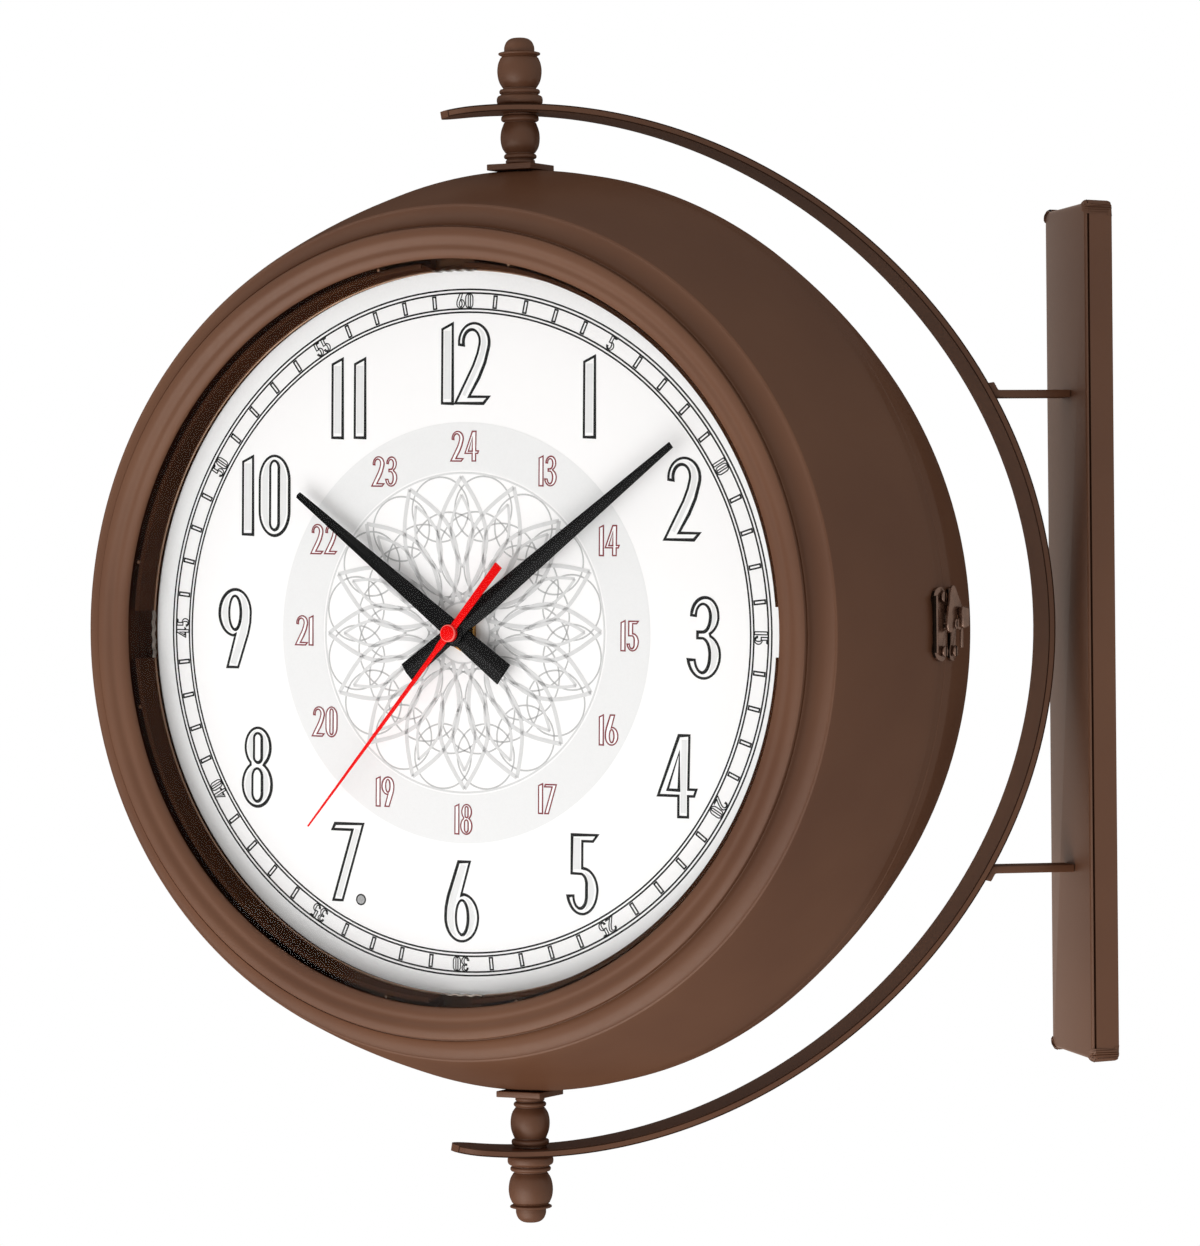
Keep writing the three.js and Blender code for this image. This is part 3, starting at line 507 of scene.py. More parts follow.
def copied(node, name, material, edge, body, angle):
    """A merged copy of a CAD node with its edges broken stands for the node."""
    piece = bpy.data.objects.new(name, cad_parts[node].data.copy())
    scene.collection.objects.link(piece)
    only(piece)
    with edit_mode():
        bpy.ops.mesh.remove_doubles(threshold=0.002 * MM)
        bpy.ops.mesh.dissolve_limited(angle_limit=math.radians(1))
    soften(piece, edge, 2, angle)
    finished(piece, name, material, 40)
    set_in_place(piece, AS_IT_IS, body, [node])
    return piece


BORE = 3.3
FINIAL_FOOT = 221.7
BALUSTER_FOOT = 196.9
COLUMN_STEPS = 96
PLATE_FOOT, PLATE_SIDE, PLATE_SHEET = 194.0, 21, 2.6
# Outlines as radius and height over the piece's foot.
FINIAL_OUTLINE = (
    [(0, 15.3), (BORE, 15.3), (BORE, 0), (8.2, 0)]
    + rounded([(8.6, 0.1), (9.5, 0.4), (9.8, 2.0), (9.5, 3.6), (8.3, 4.2)])
    + [(7.8, 4.4), (7.8, 4.7)]
    + rounded([(8.2, 4.8), (8.6, 5.2), (8.6, 6.1), (8.1, 6.6)])
    + [(7.0, 6.8), (7.0, 7.3)]
    + rounded([(7.3, 7.5), (8.8, 9.9), (9.5, 13.9), (9.1, 17.5), (8.0, 19.9)])
    + [(7.6, 20.2), (7.5, 20.6)]
    + rounded([(7.7, 20.8), (8.75, 21.2), (8.9, 21.7), (8.7, 22.1), (6.9, 22.5)])
    + [(6.4, 22.6)]
    + rounded([(6.4, 22.9), (6.4, 24.6), (5.4, 27.0), (3.2, 28.4), (0, 28.4)])
)
BALUSTER_OUTLINE = (
    [(BORE, 0), (5.4, 0)]
    + rounded([(5.9, 0), (6.2, 0.4), (6.2, 1.4), (5.8, 1.8)])
    + [(5.6, 1.9), (5.6, 2.1)]
    + rounded([(6.3, 2.2), (6.9, 2.7), (6.9, 3.6), (6.3, 4.2)])
    + [(5.9, 4.3), (5.9, 4.6)]
    + rounded([(6.3, 4.7), (7.8, 6.9), (8.4, 10.4), (8.1, 14.0), (6.8, 17.3)])
    + [(6.5, 17.5), (6.5, 17.8)]
    + rounded([(7.3, 17.9), (8.0, 18.4), (7.9, 20.0), (7.2, 20.5)])
    + [(6.9, 20.6), (6.9, 21.2), (BORE, 21.2)]
)
for end, place in (("top", HEAD), ("bottom", HEAD @ OVERTURN)):
    for kind, outline, foot in (
        ("finial", FINIAL_OUTLINE, FINIAL_FOOT), ("baluster", BALUSTER_OUTLINE, BALUSTER_FOOT)
    ):
        column = spun_piece([(radius, foot + height) for radius, height in outline], COLUMN_STEPS, "Z")
        finished(column, f"turned_{kind}_{end}", case_paint, 40)
        set_in_place(column, place, "head", [f"{kind}_{end}"])
    saddle = block((PLATE_SIDE, PLATE_SIDE, PLATE_SHEET), (0, 0, PLATE_FOOT + PLATE_SHEET / 2))
    cut_away(saddle, rod(BORE, 20, (0, 0, PLATE_FOOT)))
    soften(saddle, 0.35, 3)
    finished(saddle, f"saddle_plate_{end}", case_paint)
    set_in_place(saddle, place, "head", [f"pivot_plate_{end}"])

# ------------------------------------------------------------------ case halves
# Two halves spun from 1.5 mm steel over one former and painted. From the seam each flares in to
# the moulded bezel: outer edge, cove, crease, bead and the lip that holds the glass.
SEAM_RADIUS, BAND_HALF = 193.7, 6.8
EDGE_RADIUS, EDGE_OFFSET = 176.3, 65.4
WALL_BULGE = 0.9
CREASE_RADIUS, CREASE_OFFSET = 166.4, 74.3
LIP_RADIUS, LIP_OFFSET = 153.5, 71.8
BEAD_RISE, VALLEY_DEPTH, VALLEY_AT, VALLEY_WIDTH = 1.5, 0.9, 0.45, 0.17
COVE_START, COVE_TURN = 4, 78
CASE_SHEET = 1.5
SEAM_GAP = 0.3
CASE_STEPS = 256
NOTCH_RADIUS = 5
SCREW_BORE = 1.4
LATCH_SCREWS = (13.2, -8.8)
SIDES = (("front", HEAD, "door"), ("rear", HEAD @ Matrix.Rotation(math.pi, 4, "Z"), "head"))


def wall_point(share):
    return (
        EDGE_RADIUS + (SEAM_RADIUS - EDGE_RADIUS) * share + WALL_BULGE * math.sin(math.pi * share),
        EDGE_OFFSET - (EDGE_OFFSET - BAND_HALF) * share,
    )


def wall_radius(offset):
    """The case's outside radius at this distance from the seam."""
    share = (EDGE_OFFSET - offset) / (EDGE_OFFSET - BAND_HALF)
    return SEAM_RADIUS if offset < BAND_HALF else wall_point(share)[0]


outside = [(LIP_RADIUS, LIP_OFFSET - CASE_SHEET), (LIP_RADIUS, LIP_OFFSET - 0.5)]
for i in range(21):
    share = i / 20
    swell = BEAD_RISE * math.sin(math.pi * share) ** 0.7 if 0 < i < 20 else 0
    valley = VALLEY_DEPTH * math.exp(-(((share - VALLEY_AT) / VALLEY_WIDTH) ** 2))
    outside.append((
        LIP_RADIUS + 0.3 + (CREASE_RADIUS - LIP_RADIUS - 0.6) * share,
        LIP_OFFSET + (CREASE_OFFSET - LIP_OFFSET) * share + swell - valley,
    ))
outside += [
    (CREASE_RADIUS - 0.05, CREASE_OFFSET - 0.6),
    (CREASE_RADIUS + 0.1, CREASE_OFFSET - 1.7),
    (CREASE_RADIUS + 0.5, CREASE_OFFSET - 1.7),
    (CREASE_RADIUS + 0.65, CREASE_OFFSET - 1.3),
]
cove_radius, cove_offset = CREASE_RADIUS + 0.8, CREASE_OFFSET - 1.2
cove_end = math.radians(COVE_START + COVE_TURN)
for i in range(11):
    swing = math.radians(COVE_START + COVE_TURN * i / 10)
    outside.append((
        cove_radius + (EDGE_RADIUS - 1.4 - cove_radius) * (1 - math.cos(swing)) / (1 - math.cos(cove_end)),
        cove_offset - (cove_offset - EDGE_OFFSET) * math.sin(swing) / math.sin(cove_end),
    ))
outside += [
    (EDGE_RADIUS - 0.9, EDGE_OFFSET + 0.1), (EDGE_RADIUS - 0.2, EDGE_OFFSET - 0.2),
    (EDGE_RADIUS + 0.15, EDGE_OFFSET - 0.9),
]
outside += [wall_point(i / 12) for i in range(1, 13)]
outside += [(SEAM_RADIUS, BAND_HALF - 0.6), (SEAM_RADIUS, 0.6), (SEAM_RADIUS - 0.3, SEAM_GAP / 2)]
inside = [(SEAM_RADIUS - CASE_SHEET, SEAM_GAP / 2)]
inside += [(wall_point(i / 12)[0] - CASE_SHEET, wall_point(i / 12)[1]) for i in range(12, 0, -1)]
inside += [
    (EDGE_RADIUS - CASE_SHEET, EDGE_OFFSET - CASE_SHEET),
    (CREASE_RADIUS + 2.5, EDGE_OFFSET),
    (CREASE_RADIUS, EDGE_OFFSET + 1.6),
    (CREASE_RADIUS - 1, CREASE_OFFSET - CASE_SHEET - 0.6),
    ((LIP_RADIUS + CREASE_RADIUS) / 2, (LIP_OFFSET + CREASE_OFFSET) / 2 + BEAD_RISE - CASE_SHEET),
    (LIP_RADIUS + 5, LIP_OFFSET - CASE_SHEET + 0.4),
]
for side, place, body in SIDES:
    half_shell = spun_piece(outside + inside, CASE_STEPS, "Y")
    latch_radius, screw_line = (SEAM_RADIUS, -5.4) if side == "front" else (-SEAM_RADIUS, -4.8)
    cutters = [rod(NOTCH_RADIUS, 25, (0, 0, end * (SEAM_RADIUS - 7))) for end in (1, -1)]
    cutters += [rod(SCREW_BORE, 24, (latch_radius, screw_line, height), 24, True) for height in LATCH_SCREWS]
    for cutter in cutters:
        cut_away(half_shell, cutter)
    finished(half_shell, f"spun_case_{side}", case_paint, 32)
    set_in_place(half_shell, place, body, [f"{side}_case"])

# ------------------------------------------------------------------ glass, lens ring and dial
# A flat window-glass disc under each lip, a dark moulded ring that holds it off the dial, with
# four clip pockets, and the enamelled metal dial.
RING_TOP = 67.7
RING_TOP_RADIUS, RING_FOOT_RADIUS = 152.0, 149.5
DIAL_OFFSET = 53.35
RING_FOOT = DIAL_OFFSET + SEAT_GAP
RING_WALL, RING_FLANGE = 6, 3
FOOT_GROOVE, FOOT_BEAD = 2.1, 0.8
GAP_DEPTH = 8.5
POCKET_WIDTH, POCKET_DEPTH = 20, 2.4
RIB_SIZE, RIB_REACH, RIB_LEAN = (1.7, 8.4, 1.9), 15.6, 0.1
CLIP_WIDTH, CLIP_HEIGHT, CLIP_SHEET, CLIP_WAVE, CLIP_SAG = 20, 2.7, 0.5, 0.28, 0.3

# Bright zinc plating on the nuts and rods: a pale, slightly cloudy metal.
zinc = surface_finish("zinc_plated_steel", ("#b9b4ab", "#d2cdc6"), 5, 0.8, 0.004, 0.3, 1.0)
# Oil-blued spring steel for the clips: grey brown, with sharp glints on its waves.
spring_steel = surface_finish("blued_spring_steel", ("#5e544c", "#8d8279"), 3, 0.8, 0.004, 0.22, 1.0)
# Moulded dark brown polystyrene: a plain satin skin from a polished mould.
moulding = surface_finish(
    "moulded_brown_polystyrene", ("#26120a", "#32190c"), 60, 1.5, 0.001, 0.24, 0.0, 0.018, "#c8946a"
)
# Painted highlight: the same moulding in a lighter brown and glossier, standing in for the dial's white
# caught in a bright line on the foot bead and the pocket ribs.
painted_highlight_moulding = surface_finish(
    "brown_polystyrene_painted_highlight", ("#5a3a26", "#6e4a33"), 60, 1.5, 0.0005, 0.2, 0.0, 0.12, "#e0c4ae"
)

# Clear window glass: it mirrors the white room faintly, and more towards grazing, off its outer
# face only, so the dial stays in sight from the side.
GLASS_IOR = 1.15
glass, tree = new_material("clear_window_glass", True)
clear = add_node(tree, "BsdfTransparent", {"Color": linear("#ffffff")})
mirror = add_node(tree, "BsdfGlossy", {"Color": linear("#ffffff"), "Roughness": 0.02})
fresnel = add_node(tree, "Fresnel", {"IOR": GLASS_IOR})
behind = add_node(tree, "NewGeometry").outputs["Backfacing"]
outer = add_node(tree, "Math", {"operation": "SUBTRACT", 0: 1.0}, {1: behind})
share = add_node(tree, "Math", {"operation": "MULTIPLY"}, {0: fresnel, 1: outer})
pane = add_node(tree, "MixShader", None, {0: share, 1: clear, 2: mirror})
add_node(tree, "OutputMaterial", None, {0: pane})


def even_film(name, tones, roughness, scale=900.0, detail=1.0, shine=0.15):
    """A thin dense film, such as matt screen ink: flat to the eye, slightly uneven in cover."""
    film, tree = new_material(name)
    place = add_node(tree, "TexCoord").outputs["Object"]
    cover = add_node(tree, "TexNoise", {"Scale": scale, "Detail": detail}, {"Vector": place})
    ramp = add_node(tree, "ValToRGB", None, {"Fac": cover})
    for stop, tone in zip(ramp.color_ramp.elements, tones):
        stop.color = linear(tone)
    settings = {"Roughness": roughness, "Specular IOR Level": shine}
    set_node(tree, tree.nodes["Principled BSDF"], settings, {"Base Color": ramp})
    return film


# Stoved white enamel on the dial: an even satin white, faintly clouded over about 70 mm.
enamel = even_film("white_dial_enamel", ("#f8f7f7", "#fcfbfb"), 0.45, 14.0, 2.0, 0.2)

flange_offset = RING_FOOT + RING_FLANGE
flange_radius = wall_radius(flange_offset) - CASE_SHEET - SEAT_GAP - 0.3
bead_foot, bead_top = RING_FOOT + FOOT_GROOVE, RING_FOOT + FOOT_GROOVE + FOOT_BEAD
ring_outline = [(RING_FOOT_RADIUS, RING_FOOT), (flange_radius, RING_FOOT), (flange_radius, flange_offset)]
ring_outline += [(RING_TOP_RADIUS + outer, RING_TOP - under) for outer, under in (
    (RING_WALL, RING_TOP - flange_offset), (RING_WALL, 0), (3.6, 0), (3.5, GAP_DEPTH), (0.6, GAP_DEPTH),
    (0.3, 0.2), (0, 0), (-1.3, 0.1), (-1.7, 0.4), (-1.7, 0.9), (-0.4, 1.3),
)]
ring_outline += [(RING_FOOT_RADIUS + outer, level) for outer, level in (
    (0.7, bead_top + 0.3), (0.1, bead_top), (-0.3, bead_top - 0.3), (-0.3, bead_foot + 0.1), (0, bead_foot),
    (2, bead_foot - 0.1), (2, RING_FOOT + 0.35), (0, RING_FOOT + 0.3),
)]


def on_foot_bead(facet):
    near = math.hypot(facet.center.x, facet.center.z) < (RING_FOOT_RADIUS + 0.3) * MM
    return near and bead_foot < -facet.center.y / MM < bead_top + 0.1


for side, place, body in SIDES:
    given(f"{side}_lens", glass)
    given(f"{side}_dial", enamel)
    ring = spun_piece(ring_outline, CASE_STEPS, "Y")
    near, far = RING_FOOT_RADIUS - 2.5, RING_TOP_RADIUS + POCKET_DEPTH
    low, high = bead_foot - 1, RING_TOP + 1
    turns = [Matrix.Rotation(math.pi / 2 * quarter, 4, "Y") for quarter in range(4)]
    for turn in turns:
        pocket = block((POCKET_WIDTH, high - low, far - near), (0, -(low + high) / 2, (near + far) / 2))
        pocket.data.transform(turn)
        cut_away(ring, pocket)
    soften(ring, 0.25, 2, 60)
    finished(ring, f"moulded_lens_ring_{side}", moulding, 32)
    # Painted highlight on the foot bead's faces.
    repaint(ring, painted_highlight_moulding, on_foot_bead)
    set_in_place(ring, place, body, [f"{side}_lens_ring"])
    for quarter, turn in enumerate(turns):
        for hand, reach in (("left", -RIB_REACH), ("right", RIB_REACH)):
            rib = block(RIB_SIZE, (reach, -(RING_TOP - 4.6), RING_TOP_RADIUS - 1.1))
            off = Matrix.Translation((reach * MM, 0, 0))
            lean = Matrix.Rotation(math.copysign(RIB_LEAN, reach), 4, "Y")
            rib.data.transform(off @ lean @ off.inverted())
            soften(rib, 0.8, 4)
            # The ribs take the painted highlight, so they show as thin lighter lines.
            finished(rib, f"lens_ring_rib_{side}_{quarter}_{hand}", painted_highlight_moulding)
            set_in_place(rib, place @ turn, body, [])
        clip_middle = (0, -(bead_foot + 0.3 + CLIP_HEIGHT / 2) * MM, (RING_FOOT_RADIUS - 0.2) * MM)
        bpy.ops.mesh.primitive_grid_add(x_subdivisions=40, y_subdivisions=6, size=1, location=clip_middle)
        clip = bpy.context.object
        clip.scale = (CLIP_WIDTH * MM, CLIP_HEIGHT * MM, 1)
        bpy.ops.object.transform_apply(location=True, scale=True)
        for vertex in clip.data.vertices:
            share = vertex.co.x / (CLIP_WIDTH / 2 * MM)
            vertex.co.z += (CLIP_WAVE * math.cos(share * math.pi * 4) - CLIP_SAG * share * share) * MM
        thicken(clip, CLIP_SHEET, 0)
        finished(clip, f"lens_clip_{side}_{quarter}", spring_steel)
        set_in_place(clip, place @ turn, body, [])

# ------------------------------------------------------------------ dial print
# Screen-printed inks on the enamel: a minute track, hollow hour figures with a pale stripe, a
# light grey ring of 24 hour figures, and a plain rosette of interlaced circles and petals.
FIGURE_HEIGHT = 33
DIAL_TILT = -1.05


def arc(x, y, wide, high, start, end, steps=18):
    """Points on an ellipse from one angle to another."""
    turns = [math.radians(start + (end - start) * i / steps) for i in range(steps + 1)]
    return [(x + wide * math.cos(t), y + high * math.sin(t)) for t in turns]


def loop(x, y, wide, rise):
    """A closed loop with half-ellipse ends about these two heights."""
    return arc(x, y[1], wide, rise, 0, 180) + arc(x, y[0], wide, rise, 180, 360)


six = [(6.2, 33), (11.6, 33), (7.6, 19.0)] + arc(7.9, 9.9, 7.8, 9.7, 84, 0)
six += arc(7.9, 9.9, 7.8, 9.9, -8, -180) + [(0.3, 14.0), (1.3, 18.6)]
six_hole = arc(8.0, 9.9, 2.8, 7.1, 0, 350, 35)
six_stripes = [
    [
        (8.7, 31.6, 1.3), (6.2, 25, 1.4), (4.0, 18.5, 1.5), (2.8, 13, 1.4), (2.7, 8.5, 1.3), (3.5, 4.4, 0.9),
        (5.4, 1.9, 0.1),
    ],
    [(9.7, 18.1, 0.1), (12.0, 15.6, 0.8), (13.1, 10, 1.2), (12.1, 4.4, 0.8), (10.0, 1.8, 0.1)],
]


def turned_over(points):
    return [(15.7 - point[0], FIGURE_HEIGHT - point[1], *point[2:]) for point in points]


# Each figure: its width, its outlines, and the pale stripes inside its thick strokes.
side_stripe = [
    (5.3, 31.2, 0.1), (3.5, 28.6, 0.9), (2.6, 24, 1.3), (2.6, 9, 1.3), (3.5, 4.4, 0.9), (5.3, 1.8, 0.1),
]
upper_lobe = [(6.3, 31.8, 0.1), (4.3, 29.2, 0.8), (3.6, 25, 1.1), (4.4, 20.8, 0.6), (5.5, 19, 0.1)]
lower_lobe = [(5.7, 16.4, 0.1), (3.4, 13.6, 0.9), (2.6, 9, 1.3), (3.4, 4.2, 0.9), (5.7, 1.4, 0.1)]
FIGURES = {
    "0": (
        14.4,
        [loop(7.2, (9.9, 22.8), 7.2, 10.3), loop(7.2, (5.0, 28.0), 2.05, 3.0)],
        [side_stripe, [(14.4 - x, y, w) for x, y, w in side_stripe]],
    ),
    "1": (4.9, [[(0, 0), (4.9, 0), (4.9, 32.9), (0, 30.6)]], [[(2.45, 1.8, 1.5), (2.45, 29.9, 1.5)]]),
    "2": (
        15.7,
        [
            [(0, 0), (13.2, 0), (15.6, 2.5), (6.4, 2.6), (10.9, 10.4), (13.7, 16.6)]
            + arc(8.65, 25, 7.05, 7.9, -20, 186)
            + arc(7.45, 25.4, 3.95, 5.0, 196, -12)
            + [(10.4, 20.6), (8.4, 15.6)]
        ],
        [[
            (10.6, 31.2, 0.1), (12.8, 28.7, 0.7), (13.4, 25, 1.0), (12.8, 20.9, 1.0), (10.6, 15.8, 0.9),
            (6.8, 8.4, 0.8), (4, 3.2, 0.7),
        ]],
    ),
    "3": (
        14.5,
        [
            arc(7.4, 25.4, 6.1, 7.3, 180, 0)
            + arc(7.4, 25.4, 6.2, 7.9, -8, -68)
            + arc(7.0, 9.4, 7.3, 8.4, 66, 0)
            + arc(7.0, 9.4, 7.3, 9.4, -6, -169)
            + arc(6.2, 9.0, 3.35, 6.6, 194, 360)
            + arc(6.2, 9.6, 3.4, 6.6, 4, 84)
            + [(4.1, 16.2), (4.1, 18.8)]
            + arc(6.4, 25.0, 3.4, 6.2, -86, 0)
            + arc(6.6, 25.2, 3.2, 4.8, 4, 180)
        ],
        [
            [(9.6, 31.0, 0.1), (11.3, 28.6, 0.7), (11.7, 25, 1.0), (11.1, 21.4, 0.7), (9.8, 18.8, 0.1)],
            [(9.6, 16.4, 0.1), (11.4, 13.8, 0.9), (12.0, 9.6, 1.3), (11.3, 5, 0.9), (9.2, 1.9, 0.1)],
        ],
    ),
    "4": (
        17.3,
        [
            [
                (0, 8.5), (9.2, 33), (14, 33), (13.7, 11.2), (17.3, 11.2), (16.3, 8.5), (13.6, 8.5),
                (13.6, 0), (9.2, 0), (9.2, 8.5),
            ],
            [(4.3, 10.9), (9.3, 10.9), (9.5, 26.2)],
        ],
        [[(11.4, 1.6, 1.2), (11.7, 31.2, 1.2)]],
    ),
    "5": (
        14.1,
        [
            [(2.1, 32.4), (13.9, 32.4), (11.9, 29.8), (7, 29.8)]
            + arc(7, 9.6, 7.1, 9.2, 90, 0)
            + arc(7, 9.6, 7.0, 9.6, -8, -166)
            + arc(5.95, 7.4, 2.95, 5.0, 180, 360)
            + arc(6.1, 12.2, 2.8, 4.3, 4, 78)
            + [(2.1, 16.5)]
        ],
        [
            [(4.5, 18.2, 1.4), (4.5, 31, 1.4)],
            [(8.2, 17.1, 0.1), (10.5, 14.9, 0.9), (11.5, 10, 1.3), (10.7, 5, 1.0), (8.6, 1.7, 0.1)],
        ],
    ),
    "6": (15.7, [six, six_hole], six_stripes),
    "7": (
        14.9,
        [[(0, 29.6), (1.2, 32.2), (14.9, 32.2), (5.1, 0), (0.6, 0), (9.7, 29.6)]],
        [[(3.2, 1.6, 1.1), (12.1, 30.0, 1.1)]],
    ),
    "8": (
        14.2,
        [
            arc(7.5, 25, 6.05, 8.1, -54, 234, 34) + arc(7.2, 9.2, 7.05, 9.2, 117, 423, 38),
            arc(7.45, 28.6, 1.85, 2.2, 0, 180, 12) + arc(7.45, 20.7, 1.85, 2.2, 180, 360, 12),
            arc(7.2, 12.4, 2.3, 3.5, 0, 180, 12) + arc(7.2, 5.6, 2.3, 3.5, 180, 360, 12),
        ],
        [
            upper_lobe, [(14.95 - x, y, w) for x, y, w in upper_lobe],
            lower_lobe, [(14.4 - x, y, w) for x, y, w in lower_lobe],
        ],
    ),
    "9": (15.7, [turned_over(six), turned_over(six_hole)], [turned_over(stripe) for stripe in six_stripes]),
}
PAIR_GAPS = {"12": 1.4, "10": 3.4, "11": 6.0}
FIGURE_GAP = 2.4
# Each hour's middle on the dial, which the print holds a little off the even circle.
HOURS = {
    "12": (2.5, 111.2), "1": (60.2, 96), "2": (102, 53.8), "3": (111.4, -2.2), "4": (98.6, -58.1),
    "5": (54.7, -98.4), "6": (-1.95, -111), "7": (-56.5, -95.3), "8": (-100.6, -56.4),
    "9": (-110.7, 2.3), "10": (-94.7, 58.3), "11": (-53.6, 98.2),
}
HOURS_24 = {
    "24": (1.75, 77), "13": (40.6, 66.1), "14": (68.7, 37.3), "15": (77.6, -1.4), "16": (67.5, -39.7),
    "17": (38.9, -68), "18": (-0.7, -77), "19": (-38, -66), "20": (-67, -37), "21": (-76.5, 1.3),
    "22": (-66.5, 39.5), "23": (-36.7, 67.3),
}


def ribbon(layer, path, widths, closed=True, lean=0.0):
    """Adds a printed line along a path: its width on each side, wider to the lower right."""
    corners, faces = layer
    first, count = len(corners), len(path)
    widths = widths if isinstance(widths, list) else [widths] * count
    for i, (x, y) in enumerate(path):
        before = path[i - 1] if closed or i else path[i]
        after = path[(i + 1) % count] if closed or i < count - 1 else path[i]
        arriving = Vector((x - before[0], y - before[1]))
        leaving = Vector((after[0] - x, after[1] - y))
        arriving = arriving if arriving.length > 1e-6 else leaving
        leaving = leaving if leaving.length > 1e-6 else arriving
        arriving, leaving = arriving.normalized(), leaving.normalized()
        along = (arriving + leaving).normalized() if (arriving + leaving).length > 1e-4 else leaving
        across = Vector((along.y, -along.x))
        reach = widths[i] / max(across.dot(Vector((leaving.y, -leaving.x))), 0.45)
        extra = lean * max(0, across.dot(Vector((0.8, -0.6))))
        corners.append((x + across.x * (reach + extra), y + across.y * (reach + extra)))
        corners.append((x - across.x * reach, y - across.y * reach))
    for i in range(count if closed else count - 1):
        a, b = first + 2 * i, first + 2 * ((i + 1) % count)
        faces.append((a, b, b + 1, a + 1))


def lay_number(text, middle, scale, turn, line, lean, layer, stripes=None, bodies=None, stretch=1.0):
    """Draws a number's hollow figures round its middle point."""
    gaps = [PAIR_GAPS.get(text[i : i + 2], FIGURE_GAP) for i in range(len(text) - 1)] + [0]
    x = -(sum(FIGURES[figure][0] for figure in text) + sum(gaps)) / 2
    spin = Matrix.Rotation(math.radians(turn), 2)
    for figure, gap in zip(text, gaps):
        advance, outlines, pale = FIGURES[figure]

        def laid(px, py):
            at = spin @ Vector(((px + x) * scale * stretch, (py - FIGURE_HEIGHT / 2) * scale))
            return (at.x + middle[0], at.y + middle[1])

        loops = [[laid(*point) for point in outline] for outline in outlines]
        loops = [[at for i, at in enumerate(path) if math.dist(at, path[i - 1]) > 0.02] for path in loops]
        for path in loops:
            ribbon(layer, path, line, lean=lean)
        if bodies is not None:
            bodies.append(loops)
        if stripes is not None:
            for stripe in pale:
                widths = [width * scale for *_, width in stripe]
                ribbon(stripes, [laid(px, py) for px, py, _ in stripe], widths, False)
        x += advance + gap


def around(radius, steps=180, middle=(0, 0)):
    """Points on a circle, from the top and clockwise."""
    turns = [math.radians(360 * i / steps) for i in range(steps)]
    return [(middle[0] + radius * math.sin(turn), middle[1] + radius * math.cos(turn)) for turn in turns]


def band(layer, inner, outer):
    ribbon(layer, around((inner + outer) / 2), (outer - inner) / 2)


TRACK_RADII, TRACK_LINE = (132.2, 133.6, 140.1, 141.6), 0.36
MINUTE_RADIUS, MINUTE_SCALE, MINUTE_LINE, MINUTE_LEAN, MINUTE_STRETCH = 136.9, 0.18, 0.235, 0.05, 1.3
TICK_CORNERS, TICK_LINE = ((-0.7, 134.4), (0.7, 134.4), (0.7, 139.3), (-0.7, 139.3)), 0.33
HOUR_LINE, HOUR_LEAN = 0.52, 0.4
HOUR_24_SCALE, HOUR_24_LINE, HOUR_24_LEAN = 0.37, 0.28, 0.12
GREY_RING = (67, 87)
PAINTED_LIGHT_BAND = (141.7, 150.5)
SENSOR_AT, SENSOR_RADIUS, SENSOR_LINE = (-50.2, -111.3), 2.1, 0.3

black_layer, stripe_layer, red_layer, thick_layer, thin_layer = (([], []) for _ in range(5))
painted_light_layer, sensor_layer, ring_layer = (([], []) for _ in range(3))
for radius in TRACK_RADII:
    ribbon(black_layer, around(radius), TRACK_LINE)
for minute in range(1, 61):
    turn = -6 * minute + DIAL_TILT
    spin = Matrix.Rotation(math.radians(turn), 2)
    if minute % 5 == 0:
        lay_number(
            str(minute), spin @ Vector((0, MINUTE_RADIUS)), MINUTE_SCALE, turn, MINUTE_LINE, MINUTE_LEAN,
            black_layer, stretch=MINUTE_STRETCH,
        )
    else:
        ribbon(black_layer, [tuple(spin @ Vector(corner)) for corner in TICK_CORNERS], TICK_LINE)
for number, middle in HOURS.items():
    lay_number(number, middle, 1.0, DIAL_TILT, HOUR_LINE, HOUR_LEAN, black_layer, stripe_layer)
bodies_24 = []
for number, middle in HOURS_24.items():
    lay_number(
        number, middle, HOUR_24_SCALE, DIAL_TILT, HOUR_24_LINE, HOUR_24_LEAN, red_layer, bodies=bodies_24
    )
band(ring_layer, *GREY_RING)
# Painted light: a band over the dial's rim, a shade whiter than the enamel, lifting the lens ring's shadow
# there.
band(painted_light_layer, *PAINTED_LIGHT_BAND)
ribbon(sensor_layer, around(SENSOR_RADIUS / 2, 36, SENSOR_AT), SENSOR_RADIUS / 2)
ribbon(black_layer, around(SENSOR_RADIUS, 36, SENSOR_AT), SENSOR_LINE)

# The rosette: broad interlaced petals over two rows of finer circles.
PETALS = 16
for petal in range(PETALS):
    spin = Matrix.Rotation(2 * math.pi / PETALS * petal, 2)
    for near, far, bulge, half_width in ((13, 64.5, 11.5, 0.85), (27, 57, 5.2, 0.6)):
        for reach in (-bulge, bulge):
            path = [(reach * math.sin(math.pi * i / 36), near + (far - near) * i / 36) for i in range(37)]
            ribbon(thick_layer, [tuple(spin @ Vector(at)) for at in path], half_width, False)
for middle, radius in ((52, 13.4), (33, 17.5)):
    for i in range(PETALS):
        centre = Matrix.Rotation(2 * math.pi / PETALS * (i + 0.5), 2) @ Vector((0, middle))
        ribbon(thin_layer, around(radius, 72, centre), 0.34)
for radius in (66, 12.6):
    ribbon(thick_layer, around(radius, 144), 0.4)
